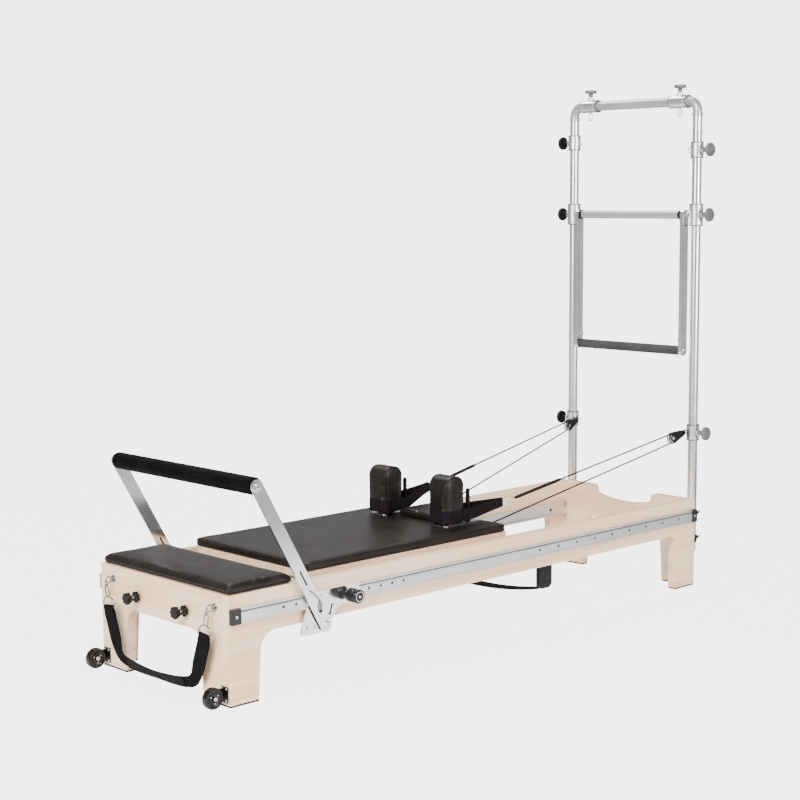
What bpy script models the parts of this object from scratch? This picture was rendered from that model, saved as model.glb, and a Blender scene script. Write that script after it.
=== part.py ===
"""A pilates reformer with a maple frame and a half-trapeze tower.

Metres, +Z up. Shapes are written with x as the distance from the foot end, y across and z above the
floor. The empty "reformer" then moves them all so that the origin is the bottom centre.
"""

import math

import bmesh
import bpy
from mathutils import Matrix, Vector

GAP = 0.0003  # between pieces that touch

# Frame
LENGTH = 2.400
WIDTH = 0.705
HEIGHT = 0.358
BOARD = 0.036
SKIRT = 0.222  # underside of the boards between the legs
LEG_FOOT = 0.115
LEG_HEAD = 0.122
OUTER_Y = WIDTH / 2
INNER_Y = OUTER_Y - BOARD
RAIL_Z = 0.292
RAIL_TALL = 0.048
RAIL_DEEP = 0.014
HOLE_PITCH = 0.053
FIRST_HOLE = 0.209
HOLE = 0.0045
TRACK_TOP = 0.273

# Carriage
CARRIAGE = (0.355, 1.325)
PAD_TOP = 0.400
PAD_THICK = 0.0305
PAD_Y = 0.310
DECK_Y = 0.298
DECK_LOW = 0.345
WHEEL = 0.030
AXLES = (0.475, 1.205)
ANCHOR_X = 0.745
REST_X = (1.104, 1.200)
REST_Y = 0.163
REST_HALF = 0.048
REST_Z = (0.410, 0.585)
PEG = (1.258, 0.168)
HEADREST_HINGE = (1.147, PAD_TOP + 0.0008)
HEADREST_END = 1.318
STRAP_END = {"right": (1.440, 0.170, 0.447), "left": (1.372, 0.150, 0.477)}

# Foot end platform
PLATFORM = (-0.003, 0.270)
PLATFORM_TOP = 0.390

# Footbar
PIVOT = (0.375, 0.207)
ROLL = (0.095, 0.698)
ARM_WIDE = 0.045
PLATE_Y = OUTER_Y + RAIL_DEEP + 3 * GAP
PLATE = 0.005
ARM = 0.006
BUSH = 0.007  # stands the arm off its slider plate
ARM_Y = PLATE_Y + PLATE + BUSH
GRIP_R = 0.0282
GRIP_HALF = 0.3745
PLUNGER_X = FIRST_HOLE + 5 * HOLE_PITCH

# Tower
POST_X = LENGTH + 0.021
POST_Y = 0.3217
TUBE = 0.019
POST_Z = (0.140, 1.908)
BAR_Z = 1.965
ELBOW = 0.042
LOW_Z = 0.628
MID_Z = 1.512
UPPER_Z = {"right": 1.771, "left": 1.815}
TOP_COLLAR_Y = 0.2335
SWING = (POST_X - 0.018, MID_Z)
GRIP_Z = 0.961
FREE = 0.0006  # sliding clearance of a collar on its tube

# Foot end
CASTER = (-0.050, 0.327, 0.038)
CASTER_R = 0.035
STAR = (-0.047, 0.134, 0.277)
STRAP_HINGE = (-0.030, 0.281, 0.313)

# Pulleys: each one hangs in its collar's eye, in the vertical plane that runs to its strap.
EYE = (POST_X - 0.010, 0.288, LOW_Z)
REACH = 0.072
DROP = 0.0205
SHEAVE_R = 0.018
GROOVE_R = 0.0150
ROPE = 0.003
HOOK_REACH = 0.062  # from a strap's end to the rope's, where a ring and a hook join them

SIDES = {"right": -1, "left": 1}
FOOT_TO_CENTRE = 1.182

MATERIALS = {  # colour, roughness, metallic
    "maple": ((0.80, 0.68, 0.56), 0.45, 0.0),
    "leatherette": ((0.022, 0.016, 0.014), 0.42, 0.0),
    "anodised": ((0.52, 0.52, 0.55), 0.35, 1.0),
    "chrome": ((0.86, 0.86, 0.87), 0.12, 1.0),
    "grey_tube": ((0.38, 0.38, 0.41), 0.40, 0.6),
    "black_plastic": ((0.02, 0.02, 0.02), 0.45, 0.0),
    "grey_plastic": ((0.24, 0.24, 0.25), 0.50, 0.0),
    "foam": ((0.012, 0.011, 0.011), 0.85, 0.0),
    "grey_foam": ((0.06, 0.06, 0.065), 0.85, 0.0),
    "webbing": ((0.03, 0.028, 0.03), 0.90, 0.0),
    "rope": ((0.03, 0.03, 0.035), 0.80, 0.0),
    "steel": ((0.55, 0.55, 0.56), 0.30, 1.0),
}


# ---------------------------------------------------------------- outlines and closed shells


def arc(centre, radius, first, last, steps=5):
    """Points on an arc, from the first to the last angle in degrees."""
    angles = [math.radians(first + (last - first) * i / steps) for i in range(steps + 1)]
    return [(centre[0] + radius * math.cos(a), centre[1] + radius * math.sin(a)) for a in angles]


def circle(centre, radius, count=12):
    return arc(centre, radius, 0, 360 * (count - 1) / count, count - 1)


def rounded(low, high, radius, steps=3):
    """A rectangle with round corners."""
    corners = (
        (high[0] - radius, high[1] - radius, 0),
        (low[0] + radius, high[1] - radius, 90),
        (low[0] + radius, low[1] + radius, 180),
        (high[0] - radius, low[1] + radius, 270),
    )
    return [p for x, y, turn in corners for p in arc((x, y), radius, turn, turn + 90, steps)]


def outward(verts, faces):
    """The shell with its faces turned to point out."""
    volume = 0.0
    for face in faces:
        a = Vector(verts[face[0]])
        for i in range(1, len(face) - 1):
            volume += a.dot(Vector(verts[face[i]]).cross(Vector(verts[face[i + 1]])))
    return (verts, faces) if volume > 0 else (verts, [face[::-1] for face in faces])


def stack(rings):
    """A closed shell through rings of points, each with as many points as the first."""
    count = len(rings[0])
    verts = [tuple(p) for ring in rings for p in ring]
    faces = [list(range(count))[::-1], [len(verts) - count + i for i in range(count)]]
    for row in range(len(rings) - 1):
        for i in range(count):
            j = (i + 1) % count
            a, b = row * count, (row + 1) * count
            faces.append([a + i, a + j, b + j, b + i])
    return outward(verts, faces)


def lift(axis, point, along):
    """A point of the plane across the axis, at this distance along it."""
    u, v = point
    return {"x": (along, u, v), "y": (u, along, v), "z": (u, v, along)}[axis]


def prism(outline, axis, low, high):
    return stack([[lift(axis, p, along) for p in outline] for along in (low, high)])


def box(low, high):
    outline = [(low[0], low[1]), (high[0], low[1]), (high[0], high[1]), (low[0], high[1])]
    return prism(outline, "z", low[2], high[2])


def inset(outline, by):
    """The outline, pulled in towards its middle by a distance along each axis."""
    middle = [(min(p[i] for p in outline) + max(p[i] for p in outline)) / 2 for i in (0, 1)]
    half = [(max(p[i] for p in outline) - min(p[i] for p in outline)) / 2 for i in (0, 1)]
    return [
        tuple(middle[i] + (p[i] - middle[i]) * (half[i] - by) / half[i] for i in (0, 1))
        for p in outline
    ]


def cushion(outline, low, high, edge):
    """A slab with rounded rims."""
    levels = [(low, edge), (low + 0.3 * edge, 0.3 * edge), (low + edge, 0)]
    levels += [(high - edge, 0), (high - 0.3 * edge, 0.3 * edge), (high, edge)]
    return stack([[lift("z", p, z) for p in inset(outline, by)] for z, by in levels])


def lathe(profile, axis, centre, sides=16, ring=False):
    """A turned shell from (radius, distance along the axis) points. A ring's profile closes on itself."""
    rings = []
    for radius, along in profile:
        turn = circle((0, 0), radius, sides)
        rings.append([Vector(lift(axis, p, along)) + Vector(centre) for p in turn])
    if not ring:
        return stack(rings)
    verts = [tuple(p) for turn in rings for p in turn]
    faces = []
    for row in range(len(rings)):
        for i in range(sides):
            j = (i + 1) % sides
            a, b = row * sides, (row + 1) % len(rings) * sides
            faces.append([a + i, a + j, b + j, b + i])
    return outward(verts, faces)


def rod(axis, centre, radius, low, high, sides=16):
    return lathe([(radius, low), (radius, high)], axis, centre, sides)


def eye(axis, centre, radius, wire, sides=10, tall=0.0):
    """A wire ring about the axis. With tall, it is stretched by that much along z."""
    section = [(radius + r, a) for r, a in circle((0, 0), wire, 6)]
    verts, faces = lathe(section, axis, centre, sides, ring=True)
    middle = centre[2]
    return [(x, y, z + math.copysign(tall / 2, z - middle)) for x, y, z in verts], faces


def sweep(path, radius, sides=16):
    """A round tube along a path that stays in one plane across x."""
    rings = []
    for i, point in enumerate(path):
        ahead, behind = path[min(i + 1, len(path) - 1)], path[max(i - 1, 0)]
        tangent = (Vector(ahead) - Vector(behind)).normalized()
        across = tangent.cross(Vector((1, 0, 0)))
        turn = circle((0, 0), radius, sides)
        rings.append([Vector(point) + Vector((u, 0, 0)) + across * v for u, v in turn])
    return stack(rings)


def moved(shell, matrix):
    verts, faces = shell
    return outward([tuple(matrix @ Vector(v)) for v in verts], faces)


# ---------------------------------------------------------------- objects


def material(name):
    found = bpy.data.materials.get(name)
    if found:
        return found
    colour, roughness, metallic = MATERIALS[name]
    made = bpy.data.materials.new(name)
    made.use_nodes = True
    made.diffuse_color = (*colour, 1)
    shader = made.node_tree.nodes["Principled BSDF"]
    shader.inputs["Base Color"].default_value = (*colour, 1)
    shader.inputs["Roughness"].default_value = roughness
    shader.inputs["Metallic"].default_value = metallic
    return made


def mesh_of(name, shells, pivot):
    bm = bmesh.new()
    for verts, faces in shells:
        made = [bm.verts.new(Vector(v) - pivot) for v in verts]
        for face in faces:
            bm.faces.new([made[i] for i in face])
    mesh = bpy.data.meshes.new(name)
    bm.to_mesh(mesh)
    bm.free()
    return mesh


def helper(name, shells, obj, pivot, operation):
    """A hidden mesh that a Boolean joins to the object or cuts from it."""
    tool = bpy.data.objects.new(name, mesh_of(name, shells, pivot))
    bpy.context.scene.collection.objects.link(tool)
    tool.location = pivot
    tool.parent = obj.parent
    tool.hide_render = True
    tool.display_type = "WIRE"
    boolean = obj.modifiers.new(name, "BOOLEAN")
    boolean.operation = operation
    boolean.object = tool
    boolean.solver = "EXACT"
    boolean.use_self = len(shells) > 1


def node(name, look, shells, cuts=(), pivot=(0, 0, 0)):
    """One piece. Its shells are joined, its cuts are taken out, and its origin is the pivot."""
    pivot = Vector(pivot)
    obj = bpy.data.objects.new(name, mesh_of(name, shells[:1], pivot))
    bpy.context.scene.collection.objects.link(obj)
    obj.parent = REFORMER
    obj.location = pivot
    obj.data.materials.append(material(look))
    if len(shells) > 1:
        helper(f"{name}_join", shells[1:], obj, pivot, "UNION")
    if cuts:
        helper(f"{name}_cut", cuts, obj, pivot, "DIFFERENCE")
    obj.data.shade_smooth()
    obj.data.set_sharp_from_angle(angle=math.radians(35))
    return obj


for old in list(bpy.data.objects):
    bpy.data.objects.remove(old, do_unlink=True)
REFORMER = bpy.data.objects.new("reformer", None)
bpy.context.scene.collection.objects.link(REFORMER)
REFORMER.location = (-FOOT_TO_CENTRE, 0, 0)


def across(y0, y1, side):
    """Two y values on one side of the machine, low one first."""
    return sorted((side * y0, side * y1))


# ---------------------------------------------------------------- frame


def side_outline():
    """A side board with its two legs, in (x, z)."""
    foot_arch, head_arch = 0.062, 0.032
    lean = 0.010
    points = [(0, 0), (LEG_FOOT, 0), (LEG_FOOT + lean, SKIRT - foot_arch)]
    points += arc((LEG_FOOT + lean + foot_arch, SKIRT - foot_arch), foot_arch, 180, 90, 6)[1:]
    points += arc((LENGTH - LEG_HEAD - lean / 2 - head_arch, SKIRT - head_arch), head_arch, 90, 0, 4)
    return points + [(LENGTH - LEG_HEAD, 0), (LENGTH, 0), (LENGTH, HEIGHT), (0, HEIGHT)]


def end_outline(top):
    """An end board in (y, z), with an arch below and the given points along its top, from +y to -y."""
    half, leg, arch = INNER_Y - GAP, 0.205, 0.050
    points = [(-half, 0), (-leg - 0.010, 0), (-leg, SKIRT - arch)]
    points += arc((-leg + arch, SKIRT - arch), arch, 180, 90, 5)[1:]
    points += arc((leg - arch, SKIRT - arch), arch, 90, 0, 5)
    return points + [(leg + 0.010, 0), (half, 0)] + top


def dished_top():
    """The head end: full height at the sides, a step down, and a shallow dish between."""
    step_y, step_z, dish_z = 0.158, 0.322, 0.304
    half = [(INNER_Y - GAP, HEIGHT), (step_y + 0.006, HEIGHT), (step_y - 0.002, HEIGHT - 0.008)]
    half += [(step_y - 0.006, step_z + 0.008), (step_y - 0.014, step_z)]
    for i in range(1, 4):
        part = i / 3
        half.append(((step_y - 0.014) * (1 - part), dish_z + (step_z - dish_z) * (1 - part) ** 2))
    return half + [(-y, z) for y, z in half[-2::-1]]


ROD_R = 0.0050
foot_holes = [rod("x", (0, s * STAR[1], STAR[2]), ROD_R + 0.0008, -0.01, BOARD + 0.01, 10) for s in (-1, 1)]
top = [(INNER_Y - GAP, HEIGHT), (-INNER_Y + GAP, HEIGHT)]
node("foot_end_board", "maple", [prism(end_outline(top), "x", 0, BOARD)], foot_holes)
node("head_end_board", "maple", [prism(end_outline(dished_top()), "x", LENGTH - BOARD, LENGTH)])


def index_holes():
    return [FIRST_HOLE + HOLE_PITCH * i for i in range(11)] + [1.436 + 2 * 0.0524 * i for i in range(9)]


for name, side in SIDES.items():
    node(f"side_board_{name}", "maple", [prism(side_outline(), "y", *across(INNER_Y, OUTER_Y, side))])
    rail = across(OUTER_Y + GAP, OUTER_Y + GAP + RAIL_DEEP, side)
    rail_z = (RAIL_Z - RAIL_TALL / 2, RAIL_Z + RAIL_TALL / 2)
    holes = [rod("y", (x, 0, RAIL_Z), HOLE, rail[0] - 0.005, rail[1] + 0.005, 6) for x in index_holes()]
    bar = box((0.002, rail[0], rail_z[0]), (2.394, rail[1], rail_z[1]))
    node(f"outer_rail_{name}", "anodised", [bar], holes)
    face, lip, low = INNER_Y - GAP, INNER_Y - 0.0200, TRACK_TOP - 0.056
    channel = [(face, low), (lip, low), (lip, low + 0.004), (face - 0.005, low + 0.004)]
    channel += [(face - 0.005, TRACK_TOP - 0.004), (lip, TRACK_TOP - 0.004)]
    channel += [(lip, TRACK_TOP), (face, TRACK_TOP)]
    channel = [(side * y, z) for y, z in channel]
    node(f"inner_track_{name}", "anodised", [prism(channel, "x", 0.045, 2.355)])

platform = rounded((PLATFORM[0], -OUTER_Y - 0.001), (PLATFORM[1], OUTER_Y + 0.001), 0.006)
node("platform_pad", "leatherette", [cushion(platform, HEIGHT + GAP, PLATFORM_TOP, 0.008)])

SPRING_Z = 0.285
SPRING_BAR_X = 0.311
bar = [rod("y", (SPRING_BAR_X, 0, SPRING_Z), 0.010, -INNER_Y + 0.0005, INNER_Y - 0.0005, 12)]
node("spring_bar", "steel", bar)


def sling_outline():
    """Two plates that hang under the side boards, and the webbing between them, in (y, z)."""
    top_z, corner, sag, thick = SKIRT - GAP, 0.137, 0.100, 0.004
    outer, inner = OUTER_Y - 0.004, OUTER_Y - 0.020
    below, above = [], []
    for i in range(9):
        y = inner * (i / 4 - 1)
        z = corner + (sag - corner) * (1 - (y / inner) ** 2)
        below.append((y, z - thick))
        above.append((y, z))
    points = [(-outer, top_z), (-outer, corner)] + below + [(outer, corner), (outer, top_z)]
    points += [(inner, top_z), (inner, corner + 0.008)] + above[-2:0:-1]
    return points + [(-inner, corner + 0.008), (-inner, top_z)]


node("under_frame_sling", "webbing", [prism(sling_outline(), "x", 1.453, 1.525)])


# ---------------------------------------------------------------- foot end

for name, side in SIDES.items():
    x, y, z = CASTER
    y *= side
    tyre = [(CASTER_R - 0.004, -0.012), (CASTER_R, -0.008), (CASTER_R, 0.008), (CASTER_R - 0.004, 0.012)]
    tyre += [(0.0046, 0.012), (0.0046, -0.012)]
    wheel = lathe(tyre, "y", (x, y, z), 20, ring=True)
    node(f"transport_wheel_{name}", "black_plastic", [wheel], pivot=(x, y, z))
    ear = rounded((x - 0.013, z - 0.013), (0.0, z + 0.020), 0.006, 2)
    ear = [(min(px, -GAP - 0.002), pz) for px, pz in ear]
    bracket = [
        box((-0.004, y - 0.017, 0.016), (-GAP, y + 0.0185, 0.066)),
        prism(ear, "y", y + 0.0135, y + 0.0180),
        rod("y", (x, y, z), 0.0040, -0.0150, 0.0160, 10),
        rod("y", (x, y, z), 0.0075, -0.0180, -0.0126, 10),
    ]
    node(f"wheel_bracket_{name}", "black_plastic", bracket)


def star(radius, depth, lobes=7):
    """A hand wheel's outline, with a lobe and a dent in turn."""
    points = []
    for i in range(lobes * 4):
        turn = math.tau * i / (lobes * 4)
        reach = radius - depth * (0.5 - 0.5 * math.cos(lobes * turn))
        points.append((reach * math.cos(turn), reach * math.sin(turn)))
    return points


for name, side in SIDES.items():
    x, y, z = STAR[0], side * STAR[1], STAR[2]
    outline = [(y + u, z + v) for u, v in star(0.021, 0.0045)]
    screw = [prism(outline, "x", x - 0.009, x + 0.009), rod("x", (0, y, z), ROD_R, x, 0.120, 10)]
    node(f"adjuster_screw_{name}", "black_plastic", screw, pivot=(x, y, z))


def carry_strap():
    """The hanging strap as a band in (y, z), with a narrow neck up to each screw eye."""
    path = [(0.265, 0.228), (0.240, 0.150), (0.215, 0.085), (0.190, 0.058), (0.105, 0.046), (0, 0.043)]
    halves = [0.032, 0.032, 0.029, 0.024, 0.0195, 0.0195]
    path = path + [(-y, z) for y, z in path[-2::-1]]
    halves = halves + halves[-2::-1]
    left, right = [], []
    for i, ((y, z), half) in enumerate(zip(path, halves)):
        ahead, behind = path[min(i + 1, len(path) - 1)], path[max(i - 1, 0)]
        along = Vector((ahead[0] - behind[0], ahead[1] - behind[1])).normalized() * half
        left.append((y - along.y, z + along.x))
        right.append((y + along.y, z - along.x))
    x = STRAP_HINGE[0]
    shells = [prism(left + right[::-1], "x", x - 0.002, x + 0.002)]
    for side in (-1, 1):
        y, z = side * STRAP_HINGE[1], STRAP_HINGE[2]
        neck = [(y - 0.003, z), (y + 0.003, z), (side * 0.266 + 0.010, 0.222), (side * 0.266 - 0.010, 0.222)]
        shells.append(prism(neck, "x", x - 0.0015, x + 0.0015))
    return shells


node("carry_strap", "webbing", carry_strap(), pivot=(STRAP_HINGE[0], 0, STRAP_HINGE[2]))


# ---------------------------------------------------------------- carriage

# How far each rope runs towards the head end and outwards, from its strap to its pulley
PLAN = {name: (EYE[0] - end[0], EYE[1] - end[1]) for name, end in STRAP_END.items()}
CLEAT_X = CARRIAGE[1] + GAP
CLEAT_HALF = 0.016

deck_top = PAD_TOP - PAD_THICK - GAP
deck = [box((CARRIAGE[0] + 0.012, -DECK_Y, DECK_LOW), (CARRIAGE[1], DECK_Y, deck_top))]
for x in AXLES:
    for side in (-1, 1):
        hanger = across(0.262, 0.278, side)
        deck.append(box((x - 0.016, hanger[0], 0.290), (x + 0.016, hanger[1], 0.350)))
deck.append(box((ANCHOR_X + GAP, -0.100, 0.272), (ANCHOR_X + 0.020, 0.100, 0.350)))
for name, side in SIDES.items():
    cleat_y = EYE[1] - PLAN[name][1] / PLAN[name][0] * (EYE[0] - CLEAT_X - 0.020)
    edges = across(cleat_y - CLEAT_HALF, cleat_y + CLEAT_HALF, side)
    deck.append(box((CARRIAGE[1] - 0.010, edges[0], 0.352), (CLEAT_X + 0.018, edges[1], 0.3685)))
AXLE_Z = TRACK_TOP + WHEEL + GAP
bores = [rod("y", (x, 0, AXLE_Z), 0.0068, -0.29, 0.29, 12) for x in AXLES]
node("carriage_board", "maple", deck, bores)

pad = rounded((CARRIAGE[0], -PAD_Y), (CARRIAGE[1], PAD_Y), 0.016)
node("carriage_pad", "leatherette", [cushion(pad, PAD_TOP - PAD_THICK, PAD_TOP, 0.008)])

for name, x in zip(("front", "rear"), AXLES):
    half = [(WHEEL - 0.002, 0.300), (WHEEL, 0.302), (WHEEL, 0.3115), (WHEEL - 0.002, 0.3135)]
    profile = [(r, -a) for r, a in half[::-1]] + [(0.006, -0.2995), (0.006, 0.2995)] + half
    node(f"wheelset_{name}", "grey_plastic", [lathe(profile, "y", (x, 0, AXLE_Z), 14)], pivot=(x, 0, AXLE_Z))

springs = box((SPRING_BAR_X + 0.0105, -0.078, SPRING_Z - 0.009), (ANCHOR_X, 0.078, SPRING_Z + 0.009))
node("spring_pack", "steel", [springs])

block = rounded((HEADREST_HINGE[0], -0.094), (HEADREST_END, 0.094), 0.012)
block = cushion(block, HEADREST_HINGE[1], 0.428, 0.006)
node("headrest", "leatherette", [block], pivot=(HEADREST_HINGE[0], 0, HEADREST_HINGE[1]))


def rest_rings(y):
    """A shoulder rest: a round-cornered block whose top rounds over."""
    low, top = REST_Z
    levels = [(low, 0.004), (low + 0.006, 0.0), (top - 0.044, 0.0)]
    levels += [(top - 0.020, 0.006), (top - 0.006, 0.020), (top, 0.036)]
    outline = rounded((REST_X[0], y - REST_HALF), (REST_X[1], y + REST_HALF), 0.024)
    return stack([[lift("z", p, z) for p in inset(outline, by)] for z, by in levels])


def band(y, grow, low, high):
    """A webbing band round a rest's foot."""
    half = REST_HALF + grow
    outline = rounded((REST_X[0] - grow, y - half), (REST_X[1] + grow, y + half), 0.024 + grow)
    return prism(outline, "z", low, high)


def strap_run(points, side):
    """Flat webbing on edge through (x, distance from the middle, z) points."""
    thick, tall = 0.0022, 0.019
    section = ((-thick, -tall), (thick, -tall), (thick, tall), (-thick, tall))
    return stack([[(x, side * y + dy, z + dz) for dy, dz in section] for x, y, z in points])


BAND_Z = (0.4115, 0.4585)
STRAP_Z = 0.435
for name, side in SIDES.items():
    y = side * REST_Y
    plate = rounded((REST_X[0] + 0.004, y - 0.040), (1.292, y + 0.040), 0.010, 2)
    rest = [
        prism(plate, "z", PAD_TOP + GAP, PAD_TOP + 0.0035),
        rest_rings(y),
        rod("z", (REST_X[0] + 0.05, y, 0), 0.020, PAD_TOP + 0.002, REST_Z[0] + 0.004, 10),
        rod("z", (PEG[0], side * PEG[1], 0), 0.008, PAD_TOP + 0.002, 0.522, 10),
    ]
    node(f"shoulder_rest_{name}", "leatherette", rest)
    outer, inner = REST_Y + REST_HALF + 0.003, REST_Y - REST_HALF - 0.003
    leave_x, (end_x, end_y, end_z) = REST_X[1] - 0.045, STRAP_END[name]
    reach, rise = end_x - REST_X[1], end_z - STRAP_Z
    out = [(leave_x, outer, STRAP_Z), (REST_X[1] + 0.010, outer - 0.005, STRAP_Z + 0.04 * rise)]
    out += [(REST_X[1] + 0.55 * reach, end_y + 0.022, STRAP_Z + 0.55 * rise), (end_x, end_y, end_z)]
    back = [(leave_x, inner, STRAP_Z), (REST_X[1] + 0.020, inner + 0.001, STRAP_Z + 0.08 * rise)]
    back += [(REST_X[1] + 0.55 * reach, inner + 0.5 * (end_y - inner), STRAP_Z + 0.55 * rise)]
    back += [(end_x - 0.005, end_y, end_z - 0.02 * rise)]
    loop = [band(y, 0.0045, *BAND_Z), strap_run(out, side), strap_run(back, side)]
    node(f"shoulder_strap_{name}", "webbing", loop, [band(y, 0.0008, 0.40, 0.47)])


# ---------------------------------------------------------------- footbar

knob_profile = [(0.0150, -0.0010), (0.0150, -0.0120), (0.0215, -0.0150), (0.0230, -0.0200), (0.0230, -0.0420)]
knob_profile += [(0.0205, -0.0450), (0.0205, -0.0500), (0.0230, -0.0530)]
knob_profile += [(0.0230, -0.0630), (0.0200, -0.0660)]


def slider_outline():
    """The slider plate in (x, z): a long top, a curved web and a wide foot with the pivot."""
    x, z = PIVOT
    points = arc((x - 0.088, z - 0.012), 0.012, 180, 270, 3)
    points += [(x - 0.010, z - 0.027)] + arc((x, z), 0.027, 285, 370, 4)
    points += arc((x + 0.092, z + 0.001), 0.054, 165, 97, 4)
    return points + [(0.530, 0.2625), (0.530, 0.3200), (0.340, 0.3200), (0.303, 0.2750)]


PIN_R = 0.0035
for name, side in SIDES.items():
    plate = across(PLATE_Y, PLATE_Y + PLATE, side)
    lip = across(OUTER_Y + 2 * GAP, PLATE_Y + 0.002, side)
    at = (PIVOT[0], 0, PIVOT[1])
    slider = [
        prism(slider_outline(), "y", *plate),
        box((0.350, lip[0], RAIL_Z + RAIL_TALL / 2 + 0.0005), (0.522, lip[1], 0.3200)),
        box((0.450, lip[0], 0.2635), (0.522, lip[1], RAIL_Z - RAIL_TALL / 2 - 0.0005)),
        rod("y", at, 0.0140, *across(PLATE_Y + 0.002, ARM_Y - GAP, side), 12),
        rod("y", at, 0.0070, *across(PLATE_Y + 0.002, ARM_Y + ARM + 0.001, side), 12),
        rod("y", at, 0.0120, *across(ARM_Y + ARM + 0.0006, ARM_Y + ARM + 0.005, side), 12),
    ]
    reach = across(OUTER_Y, PLATE_Y + 0.01, side)
    slots = [
        rod("y", (PLUNGER_X, 0, RAIL_Z), PIN_R + 0.0012, *reach, 8),
        prism([(0.398, 0.238), (0.405, 0.236), (0.412, 0.266), (0.405, 0.268)], "y", *reach),
        prism([(0.298, 0.199), (0.302, 0.199), (0.306, 0.214), (0.302, 0.214)], "y", *reach),
        prism([(0.330, 0.197), (0.334, 0.197), (0.338, 0.212), (0.334, 0.212)], "y", *reach),
    ]
    node(f"footbar_slider_{name}", "chrome", slider, slots, pivot=(PIVOT[0], side * PLATE_Y, PIVOT[1]))
    base = side * (PLATE_Y + PLATE + GAP)
    turned = [(r, -side * a) for r, a in knob_profile]
    plunger = [
        lathe(turned, "y", (PLUNGER_X, base, RAIL_Z), 12),
        rod("y", (PLUNGER_X, 0, RAIL_Z), PIN_R, *across(PLATE_Y + 0.0005, PLATE_Y + PLATE + 0.006, side), 8),
    ]
    node(f"plunger_{name}", "black_plastic", plunger, pivot=(PLUNGER_X, base, RAIL_Z))


def arm_outline():
    """One footbar arm in (x, z), round at both ends."""
    run = Vector((ROLL[0] - PIVOT[0], ROLL[1] - PIVOT[1]))
    turn = math.degrees(math.atan2(run.y, run.x))
    half = ARM_WIDE / 2
    return arc(ROLL, half, turn - 90, turn + 90, 6) + arc(PIVOT, half, turn + 90, turn + 270, 6)


def arm_slot():
    """The slot of the prop link, partway up the arm."""
    run = (Vector(ROLL) - Vector(PIVOT)).normalized()
    aside = Vector((run.y, -run.x)) * 0.0035
    near, far = Vector(PIVOT) + run * 0.175, Vector(PIVOT) + run * 0.220
    return [tuple(near + aside), tuple(far + aside), tuple(far - aside), tuple(near - aside)]


arms = [prism(arm_outline(), "y", *across(ARM_Y, ARM_Y + ARM, side)) for side in (-1, 1)]
tube = rod("y", (ROLL[0], 0, ROLL[1]), 0.016, -ARM_Y - 0.003, ARM_Y + 0.003)
arm_cuts = [rod("y", (PIVOT[0], 0, PIVOT[1]), 0.0076, -0.4, 0.4, 12), prism(arm_slot(), "y", -0.4, 0.4)]
node("footbar_frame", "chrome", [tube] + arms, arm_cuts, pivot=(PIVOT[0], 0, PIVOT[1]))
foam = [(0.0163, -GRIP_HALF), (0.0163, GRIP_HALF), (GRIP_R - 0.002, GRIP_HALF), (GRIP_R, GRIP_HALF - 0.003)]
foam += [(GRIP_R, -GRIP_HALF + 0.003), (GRIP_R - 0.002, -GRIP_HALF)]
grip = lathe(foam, "y", (ROLL[0], 0, ROLL[1]), 16, ring=True)
node("footbar_grip", "foam", [grip], pivot=(PIVOT[0], 0, PIVOT[1]))


# ---------------------------------------------------------------- tower


def collar_parts(centre, tall, radius, side, axis="z"):
    """A collar round its tube, with a boss for the clamping screw: (shells, cuts)."""
    x, y, z = centre
    shells = [rod(axis, centre, radius, -tall / 2, tall / 2)]
    cuts = [rod(axis, centre, TUBE + FREE, -tall / 2 - 0.01, tall / 2 + 0.01)]
    if axis == "z":
        ends = across(0.020, 0.034, side)
        shells.append(rod("y", (x, y, z), 0.012, *ends, 12))
        cuts.append(rod("y", (x, y, z), 0.0056, *across(0.010, 0.040, side), 10))
    else:
        shells.append(rod("z", (x, y, z), 0.012, 0.020, 0.034, 12))
        cuts.append(rod("z", (x, y, z), 0.0056, 0.010, 0.040, 10))
    return shells, cuts


def inboard_eye(centre, side, plane, out=0.0337):
    """A ring on a short stem, on the inboard side of a collar."""
    x, y, z = centre
    return [
        eye(plane, (x, y - side * out, z), 0.0100, 0.0020),
        rod("y", (x, y, z), 0.0040, *across(-0.0250, 0.0100 - out, side), 8),
    ]


def disc_knob(name, centre, axis, sign):
    """A disc knob with its screw, which ends short of the tube. The axis points away from the tube."""
    profile = [(0.0050, 0.0205), (0.0050, 0.0400), (0.0080, 0.0410), (0.0085, 0.0560), (0.0265, 0.0580)]
    profile += [(0.0275, 0.0600), (0.0275, 0.0690), (0.0250, 0.0720), (0.0120, 0.0725)]
    if axis == "z":
        profile = [(r * (0.9 if r > 0.02 else 1), 0.0205 + (a - 0.0205) * 0.91) for r, a in profile]
    turned = [(r, sign * a) for r, a in profile]
    node(name, "grey_plastic", [lathe(turned, axis, centre, 12)], pivot=centre)


for name, side in SIDES.items():
    y = side * POST_Y
    post = [rod("z", (POST_X, y, 0), TUBE, *POST_Z)]
    for z in (0.290, 0.188):
        post.append(box((LENGTH + GAP, y - 0.016, z - 0.015), (POST_X, y + 0.016, z + 0.015)))
    node(f"post_{name}", "chrome", post)
    heights = {"upper": UPPER_Z[name], "lower": LOW_Z}
    for level, z in heights.items():
        centre = (POST_X, y, z)
        shells, cuts = collar_parts(centre, 0.063, 0.026, side)
        shells += inboard_eye(centre, side, "x" if level == "upper" else "z")
        node(f"{level}_collar_{name}", "chrome", shells, cuts, pivot=centre)
        disc_knob(f"{level}_knob_{name}", centre, "y", side)
    disc_knob(f"carrier_knob_{name}", (POST_X, y, MID_Z), "y", side)
    centre = (POST_X, side * TOP_COLLAR_Y, BAR_Z)
    shells, cuts = collar_parts(centre, 0.088, 0.026, side, "y")
    shells.append(eye("x", (POST_X, centre[1], BAR_Z - 0.0425), 0.0085, 0.0020, tall=0.014))
    node(f"top_collar_{name}", "chrome", shells, cuts, pivot=centre)
    disc_knob(f"top_knob_{name}", centre, "z", 1)

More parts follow.
